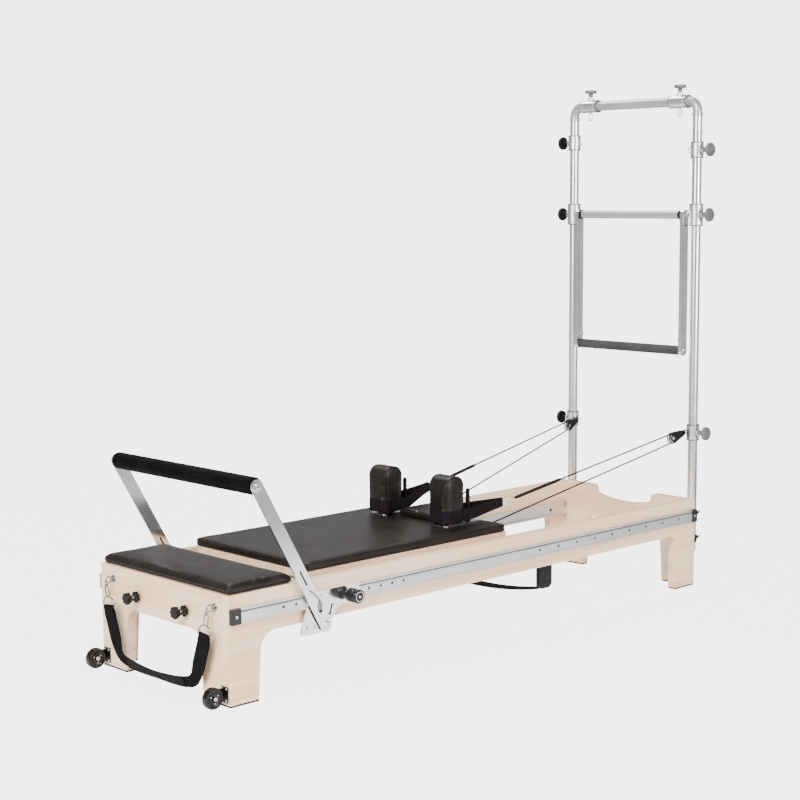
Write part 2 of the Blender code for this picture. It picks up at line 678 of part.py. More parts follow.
bend = [(POST_X, POST_Y, POST_Z[1] + GAP)]
bend += [(POST_X, u, v) for u, v in arc((POST_Y - ELBOW, BAR_Z - ELBOW), ELBOW, 0, 90, 6)]
node("top_bar", "grey_tube", [sweep(bend + [(x, -y, z) for x, y, z in bend[::-1]], TUBE)])

carrier, carrier_cuts = [rod("y", (SWING[0], 0, SWING[1]), 0.0095, -0.302, 0.302, 12)], []
for side in (-1, 1):
    shells, cuts = collar_parts((POST_X, side * POST_Y, MID_Z), 0.088, 0.028, side)
    carrier += shells
    carrier_cuts += cuts
node("push_bar_carrier", "chrome", carrier, carrier_cuts, pivot=(POST_X, 0, MID_Z))

PUSH_Y = 0.268
push_x = SWING[0]
sleeve_y = PUSH_Y + 0.004
sleeve = [(0.0102, -sleeve_y), (0.0102, sleeve_y), (0.0165, sleeve_y), (0.0165, -sleeve_y)]
push = [rod("y", (push_x, 0, GRIP_Z), 0.012, -PUSH_Y - 0.004, PUSH_Y + 0.004)]
for side in (-1, 1):
    plate = rounded((push_x - 0.0180, GRIP_Z - 0.020), (push_x + 0.0180, MID_Z + 0.020), 0.012)
    push.append(prism(plate, "y", *across(PUSH_Y, PUSH_Y + 0.016, side)))
push.append(lathe(sleeve, "y", (push_x, 0, MID_Z), 14, ring=True))
bore = rod("y", (push_x, 0, MID_Z), 0.0102, -0.30, 0.30, 14)
node("push_bar_frame", "chrome", push, [bore], pivot=(push_x, 0, MID_Z))
foam = [(0.0124, -0.2635), (0.0124, 0.2635), (0.0170, 0.2635)]
foam += [(0.0185, 0.2615), (0.0185, -0.2615), (0.0170, -0.2635)]
grip = lathe(foam, "y", (push_x, 0, GRIP_Z), 16, ring=True)
node("push_bar_grip", "grey_foam", [grip], pivot=(push_x, 0, MID_Z))


# ---------------------------------------------------------------- pulleys and ropes


def rope_plane(side):
    """From (distance towards the carriage, across, up) at the eye to the machine's own axes."""
    run, spread = PLAN["left" if side > 0 else "right"]
    towards = Vector((-run, -side * spread, 0)).normalized()
    up = Vector((0, 0, 1))
    aside = up.cross(towards)
    turn = Matrix((towards, aside, up)).transposed().to_4x4()
    return Matrix.Translation((EYE[0], side * EYE[1], EYE[2])) @ turn


def rope_points(name):
    """The rope's route in its plane: strap hook, round the sheave, and down to the cleat."""
    wrap = GROOVE_R + ROPE + GAP
    hub = Vector((REACH, -DROP))
    full = math.hypot(*PLAN[name])
    start = Vector((full - HOOK_REACH, STRAP_END[name][2] + 0.008 - EYE[2]))
    cleat = Vector(((EYE[0] - CLEAT_X - 0.0187) * full / PLAN[name][0], 0.3605 - EYE[2]))

    def touch(point, upper):
        """The angle where a straight run from the point meets the wrap circle."""
        away = point - hub
        spread = math.acos(wrap / away.length)
        heading = math.atan2(away.y, away.x)
        return heading + spread if upper else heading - spread

    first, last = touch(start, True), touch(cleat, False) + math.tau
    angles = [first + (last - first) * i / 14 for i in range(15)]
    round_sheave = [hub + wrap * Vector((math.cos(a), math.sin(a))) for a in angles]
    upper = [start.lerp(round_sheave[0], i / 12) for i in range(12)]
    lower = [round_sheave[-1].lerp(cleat, i / 12) for i in range(1, 13)]
    return upper + round_sheave + lower


def rope(name, side):
    place = rope_plane(side)
    points = [place @ Vector((p.x, 0, p.y)) for p in rope_points(name)]
    curve = bpy.data.curves.new(f"rope_{name}", "CURVE")
    curve.dimensions = "3D"
    curve.bevel_depth = ROPE
    curve.bevel_resolution = 2
    curve.use_fill_caps = True
    spline = curve.splines.new("POLY")
    spline.points.add(len(points) - 1)
    for spot, point in zip(spline.points, points):
        spot.co = (*point, 1)
    obj = bpy.data.objects.new(f"rope_{name}", curve)
    bpy.context.scene.collection.objects.link(obj)
    obj.parent = REFORMER
    curve.materials.append(material("rope"))


def block_outline():
    """The pulley's cheek, from its hanging hole to past the sheave."""
    hub = (REACH, -DROP)
    turn = math.degrees(math.atan2(-DROP, REACH))
    return arc(hub, 0.0225, turn - 100, turn + 100, 8) + arc((0, 0), 0.0085, turn + 95, turn + 265, 6)


AXLE_R = 0.0030
CHEEK_R = 0.0225
for name, side in SIDES.items():
    place = rope_plane(side)
    eye_at = place @ Vector((0, 0, 0))
    hub_at = place @ Vector((REACH, 0, -DROP))
    hub, turn = Vector((REACH, -DROP)), math.atan2(-DROP, REACH)
    ahead = Vector((math.cos(turn), math.sin(turn)))
    aside = Vector((ahead.y, -ahead.x))
    plates = [
        prism(block_outline(), "y", -0.0020, 0.0020),
        prism(arc(tuple(hub), CHEEK_R, 0, 345, 15), "y", -0.0085, 0.0085),
        prism(circle(tuple(ahead * 0.034), 0.010), "y", -0.0085, 0.0085),
        prism([(0.036, -0.003), (0.066, -0.001), (0.060, -0.036), (0.032, -0.020)], "y", -0.0085, 0.0085),
    ]
    degrees = math.degrees(turn)
    slot = arc(tuple(hub), CHEEK_R + 0.001, degrees - 100, degrees + 100, 8)
    slot += [tuple(hub - ahead * 0.0215 + aside * k) for k in (-0.024, 0.024)]
    cuts = [
        prism(slot, "y", -0.0048, 0.0048),
        rod("y", (REACH, 0, -DROP), AXLE_R + 0.0005, -0.02, 0.02, 10),
        rod("y", (0, 0, 0), 0.0055, -0.02, 0.02, 10),
    ]
    block = [moved(shell, place) for shell in plates]
    node(f"pulley_block_{name}", "black_plastic", block, [moved(c, place) for c in cuts], pivot=eye_at)
    wheel = [(AXLE_R, -0.0080), (AXLE_R, -0.0040), (SHEAVE_R, -0.0038), (SHEAVE_R - 0.001, -0.0034)]
    wheel += [(GROOVE_R, -0.0012), (GROOVE_R, 0.0012), (SHEAVE_R - 0.001, 0.0034), (SHEAVE_R, 0.0038)]
    wheel += [(AXLE_R, 0.0040), (AXLE_R, 0.0080)]
    sheave = moved(lathe(wheel, "y", (REACH, 0, -DROP), 14), place)
    node(f"sheave_{name}", "grey_plastic", [sheave], pivot=hub_at)
    rope(name, side)
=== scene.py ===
"""The looks of a pilates reformer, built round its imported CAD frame.

Shapes are written with x as the distance from the foot end, y across and z above the floor, in metres.
"""

import math

import bmesh
import bpy
from mathutils import Matrix, Vector
from mathutils.bvhtree import BVHTree


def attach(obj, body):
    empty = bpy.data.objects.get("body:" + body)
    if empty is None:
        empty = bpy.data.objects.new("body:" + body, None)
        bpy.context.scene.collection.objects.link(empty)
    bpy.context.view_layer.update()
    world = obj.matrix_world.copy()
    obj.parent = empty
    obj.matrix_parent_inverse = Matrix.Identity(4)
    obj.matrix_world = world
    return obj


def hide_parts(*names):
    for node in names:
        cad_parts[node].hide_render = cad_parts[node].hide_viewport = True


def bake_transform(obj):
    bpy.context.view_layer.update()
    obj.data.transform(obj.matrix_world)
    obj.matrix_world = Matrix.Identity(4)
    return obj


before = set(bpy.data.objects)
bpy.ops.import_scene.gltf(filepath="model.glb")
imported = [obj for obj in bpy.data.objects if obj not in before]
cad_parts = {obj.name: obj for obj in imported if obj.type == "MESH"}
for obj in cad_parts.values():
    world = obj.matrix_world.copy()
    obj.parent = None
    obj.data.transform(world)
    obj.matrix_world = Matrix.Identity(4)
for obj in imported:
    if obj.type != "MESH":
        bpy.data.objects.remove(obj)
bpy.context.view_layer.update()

FOOT = 1.182  # from the foot end to the frame's origin
SIDES = {"right": -1, "left": 1}


def shift(x):
    """A distance from the foot end as an x of the row frame."""
    return x - FOOT


# ---------------------------------------------------------------- camera

CAMERA_AT = (-4.308, -4.426, 1.59)
YAW, PITCH, ROLL = (math.radians(a) for a in (46.49, 6.9, 0.34))
lens = bpy.data.cameras.new("camera")
lens.sensor_width = 36.0
lens.lens = 75.47
camera = bpy.data.objects.new("camera", lens)
bpy.context.scene.collection.objects.link(camera)
forward = Vector((math.cos(YAW) * math.cos(PITCH), math.sin(YAW) * math.cos(PITCH), -math.sin(PITCH)))
level = Vector((math.sin(YAW), -math.cos(YAW), 0))
down = forward.cross(level)
across_view = math.cos(ROLL) * level + math.sin(ROLL) * down
down_view = -math.sin(ROLL) * level + math.cos(ROLL) * down
turn = Matrix((across_view, -down_view, -forward)).transposed().to_4x4()
camera.matrix_world = Matrix.Translation(CAMERA_AT) @ turn
bpy.context.scene.camera = camera


# ---------------------------------------------------------------- materials


class Nodes:
    """A small builder for one node material."""

    def __init__(self, name, colour, roughness, metallic=0.0, **sockets):
        self.material = bpy.data.materials.new(name)
        self.material.use_nodes = True
        self.material.diffuse_color = (*colour, 1)
        self.tree = self.material.node_tree
        self.shader = self.tree.nodes["Principled BSDF"]
        self.shader.inputs["Base Color"].default_value = (*colour, 1)
        self.shader.inputs["Roughness"].default_value = roughness
        self.shader.inputs["Metallic"].default_value = metallic
        for socket, value in sockets.items():
            self.shader.inputs[socket.replace("_", " ")].default_value = value

    def add(self, kind, links=None, **settings):
        node = self.tree.nodes.new(kind)
        for key, value in settings.items():
            setattr(node, key, value)
        for socket, value in (links or {}).items():
            if isinstance(value, bpy.types.NodeSocket):
                self.tree.links.new(value, node.inputs[socket])
            else:
                node.inputs[socket].default_value = value
        return node

    def place(self, scale, source="Object"):
        """Texture coordinates of the object's own space, or its UVs, scaled along each axis."""
        found = self.add("ShaderNodeTexCoord").outputs[source]
        return self.add("ShaderNodeMapping", {"Vector": found, "Scale": scale}).outputs["Vector"]

    def noise(self, vector, scale, detail=4.0, distortion=0.0):
        links = {"Vector": vector, "Scale": scale, "Detail": detail, "Distortion": distortion}
        return self.add("ShaderNodeTexNoise", links).outputs["Fac"]

    def wave(self, vector, scale, distortion=0.0, direction="X", detail=2.0):
        links = {"Vector": vector, "Scale": scale, "Distortion": distortion, "Detail": detail}
        return self.add("ShaderNodeTexWave", links, bands_direction=direction).outputs["Fac"]

    def cells(self, vector, scale):
        return self.add("ShaderNodeTexVoronoi", {"Vector": vector, "Scale": scale}).outputs["Distance"]

    def ramp(self, factor, stops):
        """Colours or greys between stops of (place, colour)."""
        made = self.add("ShaderNodeValToRGB", {"Fac": factor})
        for i, (spot, colour) in enumerate(stops):
            point = made.color_ramp.elements[i] if i < 2 else made.color_ramp.elements.new(spot)
            point.position = spot
            grey = isinstance(colour, (int, float))
            point.color = (colour, colour, colour, 1) if grey else (*colour, 1)
        return made.outputs["Color"]

    def math(self, operation, a, b):
        return self.add("ShaderNodeMath", {0: a, 1: b}, operation=operation).outputs[0]

    def mix(self, factor, a, b, blend="MIX"):
        made = self.add("ShaderNodeMix", data_type="RGBA", blend_type=blend)
        for index, value in ((0, factor), (6, a), (7, b)):
            if isinstance(value, bpy.types.NodeSocket):
                self.tree.links.new(value, made.inputs[index])
            else:
                made.inputs[index].default_value = value if index == 0 else (*value, 1)
        return made.outputs[2]

    def colour(self, socket):
        self.tree.links.new(socket, self.shader.inputs["Base Color"])

    def rough(self, factor, low, high):
        made = self.add("ShaderNodeMapRange", {"Value": factor, "To Min": low, "To Max": high})
        self.tree.links.new(made.outputs["Result"], self.shader.inputs["Roughness"])

    def bump(self, height, depth, strength=1.0):
        """Relief of this depth in metres."""
        links = {"Height": height, "Distance": depth, "Strength": strength}
        made = self.add("ShaderNodeBump", links)
        self.tree.links.new(made.outputs["Normal"], self.shader.inputs["Normal"])


def maple(name, along):
    """Pale maple under satin lacquer, with its grain along one axis."""
    made = Nodes(name, (0.8, 0.67, 0.55), 0.42, Coat_Weight=0.15, Coat_Roughness=0.25)
    stretch = {"x": (0.55, 9, 9), "y": (9, 0.55, 9)}[along]
    long = made.place(stretch)
    figure = made.noise(long, 2.2, 7, 1.2)
    rings = made.wave(long, 0.9, 9, "Z", 3)
    pores = made.noise(made.place([s * 22 for s in stretch]), 3.0, 3)
    tone = made.ramp(figure, [(0.32, (0.72, 0.46, 0.27)), (0.5, (0.84, 0.575, 0.37)),
        (0.7, (0.9, 0.655, 0.455))])
    ringed = made.mix(made.math("MULTIPLY", rings, 0.16), tone, (0.64, 0.43, 0.27))
    flecks = made.ramp(pores, [(0.36, 0.86), (0.5, 1.0)])
    made.colour(made.mix(0.55, ringed, flecks, "MULTIPLY"))
    made.rough(figure, 0.36, 0.5)
    made.bump(pores, 0.00025, 0.35)
    return made.material


def leatherette():
    """Satin black-brown upholstery with a fine pebble grain and soft wear."""
    made = Nodes("leatherette", (0.007, 0.005, 0.0044), 0.36, Specular_IOR_Level=0.22)
    flat = made.place((1, 1, 1))
    pebble = made.cells(flat, 620)
    wrinkles = made.noise(flat, 38, 5, 0.6)
    patches = made.noise(flat, 5.5, 4, 0.8)
    made.colour(made.ramp(patches, [(0.3, (0.005, 0.0033, 0.0028)), (0.72, (0.012, 0.008, 0.0068))]))
    made.rough(made.math("ADD", made.math("MULTIPLY", patches, 0.7), made.math("MULTIPLY", wrinkles, 0.3)),
        0.26, 0.46)
    height = made.math("ADD", made.math("MULTIPLY", pebble, 0.3), made.math("MULTIPLY", wrinkles, 1.0))
    made.bump(height, 0.0006, 0.45)
    return made.material


def metal(name, colour, low, high, streak=(1, 1, 1), metallic=1.0, depth=0.00004, scale=60):
    """Metal with fine streaks in its gloss."""
    made = Nodes(name, colour, (low + high) / 2, metallic)
    brushed = made.noise(made.place(streak), scale, 4)
    cloud = made.noise(made.place((1, 1, 1)), 7, 3)
    dim = tuple(c * 0.9 for c in colour)
    made.colour(made.ramp(cloud, [(0.3, dim), (0.65, colour)]))
    made.rough(made.math("ADD", made.math("MULTIPLY", brushed, 0.7), made.math("MULTIPLY", cloud, 0.3)),
        low, high)
    made.bump(brushed, depth, 0.5)
    return made.material


def moulded(name, colour, roughness, grain=900, depth=0.00012, **sockets):
    """Moulded plastic, rubber or foam with a fine grain."""
    made = Nodes(name, colour, roughness, **sockets)
    flat = made.place((1, 1, 1))
    fine = made.noise(flat, grain, 3)
    cloud = made.noise(flat, 14, 3)
    light = tuple(min(1.0, c * 1.35 + 0.001) for c in colour)
    made.colour(made.ramp(cloud, [(0.32, colour), (0.7, light)]))
    made.rough(cloud, roughness - 0.05, roughness + 0.07)
    made.bump(fine, depth, 0.6)
    return made.material


def woven(name, dark, light, pitch=0.0011, ribs=0.00035):
    """Woven webbing: ribs across it and threads along it, from UVs in metres."""
    made = Nodes(name, dark, 0.85, Specular_IOR_Level=0.06)
    plane = made.place((1 / pitch, 1 / pitch, 1), "UV")
    along = made.wave(plane, 0.32, 0.4, "X")
    cross = made.wave(plane, 0.24, 0.3, "Y")
    weave = made.math("MULTIPLY", along, cross)
    fuzz = made.noise(made.place((1, 1, 1), "UV"), 240, 4)
    made.colour(made.mix(fuzz, made.ramp(weave, [(0.05, dark), (0.75, light)]), dark))
    made.rough(fuzz, 0.72, 0.95)
    made.bump(weave, ribs, 0.8)
    return made.material


def braided():
    """Braided rope, from UVs in metres: two sets of strands that cross."""
    made = Nodes("rope", (0.012, 0.0115, 0.013), 0.75, Specular_IOR_Level=0.08)
    plane = made.place((260, 260, 1), "UV")
    one = made.wave(plane, 0.45, 0.2, "DIAGONAL")
    mirrored = made.place((260, -260, 1), "UV")
    other = made.wave(mirrored, 0.45, 0.2, "DIAGONAL")
    strands = made.math("MAXIMUM", one, other)
    made.colour(made.ramp(strands, [(0.35, (0.003, 0.003, 0.0035)), (0.9, (0.012, 0.0115, 0.013))]))
    made.rough(strands, 0.65, 0.88)
    made.bump(strands, 0.0005, 0.9)
    return made.material


LOOKS = {
    "maple_x": (maple("maple_x", "x"), "maple"),
    "maple_y": (maple("maple_y", "y"), "maple"),
    "leatherette": (leatherette(), "leatherette"),
}


def add_look(make, slot, name, *numbers, **sockets):
    """Keeps a material, and the slot that its pieces belong to, under the material's name."""
    LOOKS[name] = (make(name, *numbers, **sockets), slot)


lengthwise = (1, 90, 90)
add_look(metal, "anodised", "anodised", (0.68, 0.68, 0.7), 0.3, 0.46, lengthwise, 0.9)
# A darker copy of the anodised metal: painted shade, for inside the rails' grooves.
add_look(metal, "anodised", "anodised_painted_shade", (0.14, 0.135, 0.145), 0.34, 0.5, lengthwise, 0.8)
add_look(metal, "chrome", "chrome", (0.86, 0.86, 0.87), 0.05, 0.16)
add_look(metal, "chrome", "chrome_post", (0.9, 0.9, 0.91), 0.16, 0.26, (40, 40, 1.5))
add_look(metal, "chrome", "collar", (0.84, 0.84, 0.85), 0.24, 0.36)
add_look(metal, "chrome", "chrome_plate", (0.92, 0.92, 0.92), 0.08, 0.2, (2, 30, 40), depth=0.00008)
add_look(metal, "steel", "steel", (0.55, 0.55, 0.56), 0.22, 0.4)
add_look(metal, "chrome", "wire", (0.3, 0.29, 0.28), 0.14, 0.28)
add_look(metal, "steel", "dark_steel", (0.022, 0.021, 0.021), 0.3, 0.48, metallic=0.6)
add_look(metal, "grey_tube", "grey_tube", (0.42, 0.42, 0.45), 0.3, 0.44, metallic=0.6, scale=240)
black = "black_plastic"
add_look(moulded, black, black, (0.004, 0.0036, 0.0036), 0.36, Specular_IOR_Level=0.18)
add_look(moulded, black, "gloss_black", (0.004, 0.004, 0.004), 0.16, 300, 0.00003, Specular_IOR_Level=0.35)
add_look(moulded, black, "cap_grey", (0.012, 0.0115, 0.012), 0.42, Specular_IOR_Level=0.3)
add_look(moulded, "grey_plastic", "grey_plastic", (0.085, 0.085, 0.088), 0.38)
add_look(moulded, "grey_plastic", "light_plastic", (0.3, 0.29, 0.29), 0.4)
add_look(moulded, black, "rubber", (0.01, 0.009, 0.009), 0.75, 500, Specular_IOR_Level=0.2)
add_look(moulded, "foam", "foam", (0.0016, 0.0012, 0.0012), 0.66, 420, 0.0005, Specular_IOR_Level=0.05)
add_look(moulded, "grey_foam", "grey_foam", (0.03, 0.03, 0.032), 0.75, 420, 0.0005, Specular_IOR_Level=0.25)
add_look(woven, "webbing", "webbing", (0.003, 0.0027, 0.0032), (0.013, 0.0115, 0.013))
add_look(woven, "webbing", "band", (0.006, 0.0045, 0.006), (0.026, 0.02, 0.026))
add_look(woven, "webbing", "grey_webbing", (0.008, 0.0075, 0.0078), (0.03, 0.028, 0.028))
add_look(woven, "webbing", "sleeve", (0.014, 0.01, 0.008), (0.052, 0.037, 0.03), 0.0009)
LOOKS["rope"] = (braided(), "rope")


# ---------------------------------------------------------------- outlines and closed shells


def arc(centre, radius, first, last, steps=8):
    angles = [math.radians(first + (last - first) * i / steps) for i in range(steps + 1)]
    return [(centre[0] + radius * math.cos(a), centre[1] + radius * math.sin(a)) for a in angles]


def circle(centre, radius, count=32):
    return arc(centre, radius, 0, 360 * (count - 1) / count, count - 1)


def rounded(low, high, radius, steps=6):
    corners = (
        (high[0] - radius, high[1] - radius, 0),
        (low[0] + radius, high[1] - radius, 90),
        (low[0] + radius, low[1] + radius, 180),
        (high[0] - radius, low[1] + radius, 270),
    )
    return [p for x, y, turned in corners for p in arc((x, y), radius, turned, turned + 90, steps)]


def outward(verts, faces):
    """The closed shell with its faces turned to point out."""
    volume = 0.0
    for face in faces:
        a = Vector(verts[face[0]])
        for i in range(1, len(face) - 1):
            volume += a.dot(Vector(verts[face[i]]).cross(Vector(verts[face[i + 1]])))
    return (verts, faces) if volume > 0 else (verts, [face[::-1] for face in faces])


def flattened(rings):
    return [tuple(p) for ring in rings for p in ring]


def walls(rings, rows):
    """The faces between each ring and the next, for this many rows, coming back to the first ring."""
    count = len(rings[0])
    starts = [(row * count, (row + 1) % len(rings) * count) for row in range(rows)]
    return [[a + i, a + (i + 1) % count, b + (i + 1) % count, b + i] for a, b in starts
        for i in range(count)]


def end_caps(rings):
    count, total = len(rings[0]), len(rings) * len(rings[0])
    return [list(range(count))[::-1], list(range(total - count, total))]


def stack(rings):
    """A closed shell from rings of points, with a flat cap at each end."""
    return outward(flattened(rings), end_caps(rings) + walls(rings, len(rings) - 1))


def loft(rings, spots, spans, closed):
    """A shell from rings along a path, with UVs in metres: along the spots, and across by the spans."""
    count = len(rings)
    lengths = [0.0]
    for a, b in zip(spots, spots[1:]):
        lengths.append(lengths[-1] + (b - a).length)
    lengths.append(lengths[-1] + (spots[0] - spots[-1]).length)
    rows = count if closed else count - 1
    faces = walls(rings, rows)
    uvs = []
    for low, high in zip(lengths[:rows], lengths[1:]):
        uvs += [[(low, u), (low, v), (high, v), (high, u)] for u, v in spans]
    if not closed:
        faces += end_caps(rings)
        uvs += [[(0.0, 0.0)] * len(rings[0])] * 2
    volume = outward(flattened(rings), faces)
    if volume[1] is not faces:
        uvs = [uv[::-1] for uv in uvs]
    return (*volume, uvs)


def lift(axis, point, along):
    u, v = point
    return {"x": (along, u, v), "y": (u, along, v), "z": (u, v, along)}[axis]


def prism(outline, axis, low, high):
    return stack([[lift(axis, p, along) for p in outline] for along in (low, high)])


def box(low, high):
    outline = [(low[0], low[1]), (high[0], low[1]), (high[0], high[1]), (low[0], high[1])]
    return prism(outline, "z", low[2], high[2])


def inset(outline, by):
    middle = [(min(p[i] for p in outline) + max(p[i] for p in outline)) / 2 for i in (0, 1)]
    half = [(max(p[i] for p in outline) - min(p[i] for p in outline)) / 2 for i in (0, 1)]
    return [
        tuple(middle[i] + (p[i] - middle[i]) * (half[i] - by) / half[i] for i in (0, 1))
        for p in outline
    ]


def lathe(profile, axis, centre, sides=40, ring=False):
    """A profile of (radius, along) turned about an axis. A ring's profile closes on itself round a bore."""
    middle = Vector(centre)
    rings = []
    for radius, along in profile:
        rings.append([Vector(lift(axis, p, along)) + middle for p in circle((0, 0), radius, sides)])
    return outward(flattened(rings), walls(rings, len(rings))) if ring else stack(rings)


def bored(profile, axis, centre, sides=48):
    """A turned ring round a bore."""
    return lathe(profile, axis, centre, sides, ring=True)


def rod(axis, centre, radius, low, high, sides=32, edge=0.0):
    """A round bar, with chamfered rims if an edge is given."""
    if edge:
        profile = [(radius - edge, low), (radius, low + edge), (radius, high - edge), (radius - edge, high)]
    else:
        profile = [(radius, low), (radius, high)]
    return lathe(profile, axis, centre, sides)


def eye(axis, centre, radius, wire, tall=0.0):
    """A wire ring, which may be drawn out along z."""
    verts, faces = bored([(radius + r, a) for r, a in circle((0, 0), wire, 10)], axis, centre, 28)
    middle = centre[2]
    return [(x, y, z + math.copysign(tall / 2, z - middle)) for x, y, z in verts], faces


def frames(path, closed=False):
    """A tangent and a pair of cross directions at each point, turning as little as they can."""
    points = [Vector(p) for p in path]
    count = len(points)
    found, across = [], None
    for i in range(count):
        ahead = points[(i + 1) % count] if closed else points[min(i + 1, count - 1)]
        behind = points[i - 1] if closed or i else points[0]
        tangent = (ahead - behind).normalized()
        if across is None:
            across = tangent.orthogonal().normalized()
        across = (across - tangent * across.dot(tangent)).normalized()
        found.append((points[i], tangent, across, tangent.cross(across)))
    return found


def tube(path, radius, sides=10, closed=False, taper=None):
    """A round tube along any path. The result's UVs run in metres along and around it."""
    placed = frames(path, closed)
    rings = []
    for i, (point, _, a, b) in enumerate(placed):
        size = radius * (taper[i] if taper else 1)
        rings.append([point + a * (u * size) + b * (v * size) for u, v in circle((0, 0), 1, sides)])
    around = math.tau * radius / sides
    spans = [(i * around, (i + 1) * around) for i in range(sides)]
    return loft(rings, [spot[0] for spot in placed], spans, closed)


def ribbon(path, normals, width, thick, widths=None):
    """A flat strap along a path. The normals face out of its flat side; UVs are in metres."""
    points = [Vector(p) for p in path]
    rings = []
    for i, point in enumerate(points):
        tangent = (points[min(i + 1, len(points) - 1)] - points[max(i - 1, 0)]).normalized()
        out = Vector(normals[i] if isinstance(normals, list) else normals)
        out = (out - tangent * out.dot(tangent)).normalized()
        side = tangent.cross(out)
        half = (widths[i] if widths else width) / 2
        flat = half - thick * 0.45
        section = [(flat, -thick / 2), (half, 0), (flat, thick / 2)]
        section += [(half * k, thick / 2) for k in (0.5, 0, -0.5)]
        section += [(-flat, thick / 2), (-half, 0), (-flat, -thick / 2)]
        section += [(half * k, -thick / 2) for k in (-0.5, 0, 0.5)]
        rings.append([point + side * u + out * v for u, v in section])
    spots = [u for u, _ in section]
    return loft(rings, points, list(zip(spots, spots[1:] + spots[:1])), False)


def smooth_path(points, per=6):
    """A Catmull-Rom curve through the points."""
    spots = [Vector(p) for p in points]
    count = len(spots)
    out = []
    for i in range(count - 1):
        a, b, c, d = spots[max(i - 1, 0)], spots[i], spots[i + 1], spots[min(i + 2, count - 1)]
        for k in range(per):
            t = k / per
            out.append(0.5 * ((2 * b) + (c - a) * t + (2 * a - 5 * b + 4 * c - d) * t * t
                + (3 * b - a - 3 * c + d) * t**3))
    return out + [spots[-1]]


def shares(count, whole=math.tau):
    """Angles that share out a turn, or a part of one, with both of its ends."""
    return [whole * i / count for i in range(count + 1)]


def moved(shell, matrix):
    verts, faces = shell
    return [tuple(matrix @ Vector(v)) for v in verts], faces


def across(y0, y1, side):
    """Two distances from the middle as a low and a high y on one side."""
    return sorted((side * y0, side * y1))


# ---------------------------------------------------------------- pieces

HARD_ANGLE = math.radians(32)
CLOTH_FRAMES = 20


def mesh_of(name, shells, bevel=0.0):
    """One mesh from closed shells, moved into the row frame, with its hard edges rounded."""
    bm = bmesh.new()
    layer = bm.loops.layers.uv.new("metres")
    for shell in shells:
        verts, faces = shell[0], shell[1]
        uvs = shell[2] if len(shell) > 2 else None
        made = [bm.verts.new((shift(x), y, z)) for x, y, z in verts]
        for k, face in enumerate(faces):
            flat = bm.faces.new([made[i] for i in face])
            if uvs:
                for loop, uv in zip(flat.loops, uvs[k]):
                    loop[layer].uv = uv
    if bevel:
        hard = [e for e in bm.edges if len(e.link_faces) == 2 and e.calc_face_angle(0) > HARD_ANGLE]
        bmesh.ops.bevel(
            bm, geom=hard, offset=bevel, segments=2, profile=0.5, affect="EDGES", clamp_overlap=True
        )
    mesh = bpy.data.meshes.new(name)
    bm.to_mesh(mesh)
    bm.free()
    return mesh


def cut(obj, shells):
    """Takes the closed shells out of the object's mesh."""
    for k, shell in enumerate(shells):
        tool = bpy.data.objects.new(f"tool_{k}", mesh_of("tool", [shell]))
        bpy.context.scene.collection.objects.link(tool)
        boolean = obj.modifiers.new(f"cut_{k}", "BOOLEAN")
        boolean.operation, boolean.solver, boolean.object = "DIFFERENCE", "EXACT", tool
    bpy.context.view_layer.update()
    old = obj.data
    obj.data = bpy.data.meshes.new_from_object(obj.evaluated_get(bpy.context.evaluated_depsgraph_get()))
    obj.data.name = obj.name
    for boolean in list(obj.modifiers):
        tool = boolean.object
        obj.modifiers.remove(boolean)
        bpy.data.objects.remove(tool, do_unlink=True)
    bpy.data.meshes.remove(old)


def finish_mesh(obj, sharp=38):
    obj.data.shade_smooth()
    obj.data.set_sharp_from_angle(angle=math.radians(sharp))
    even = obj.modifiers.new("even_normals", "WEIGHTED_NORMAL")
    even.keep_sharp = True


def new_object(name, look, shells, bevel=0.0):
    obj = bpy.data.objects.new(name, mesh_of(name, shells, bevel))
    bpy.context.scene.collection.objects.link(obj)
    obj.data.materials.append(LOOKS[look][0])
    return obj


def piece(name, look, body, shells, stands_for=(), bevel=0.0, cuts=(), sharp=38):
    """One visible piece that rides on a body, and stands for these CAD nodes."""
    obj = new_object(name, look, shells, bevel)
    if cuts:
        cut(obj, cuts)
    finish_mesh(obj, sharp)
    if body:
        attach(obj, body)
    if stands_for:
        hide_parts(*stands_for)
    return obj


def facing(profile, axis, centre, side, sides=40, face=0.0, ring=False):
    """A turned shape on one side, whose profile is (radius, how far out from its face)."""
    return lathe([(r, side * (face + out)) for r, out in profile], axis, centre, sides, ring)


def pin(x, z, radius, low, high, side, sides=24, edge=0.0):
    """A round bar across the machine, between two distances from its middle."""
    return rod("y", (x, 0, z), radius, *across(low, high, side), sides, edge)


def bolt(axis, centre, radius, tall, side):
    """A domed bolt head with a socket, standing off a face along an axis."""
    profile = [(radius, 0.0), (radius, tall * 0.55), (radius * 0.86, tall * 0.88), (radius * 0.62, tall)]
    profile += [(radius * 0.42, tall), (radius * 0.4, tall * 0.45), (0.0002, tall * 0.42)]
    return facing(profile, axis, centre, side, 20)


# ---------------------------------------------------------------- upholstery


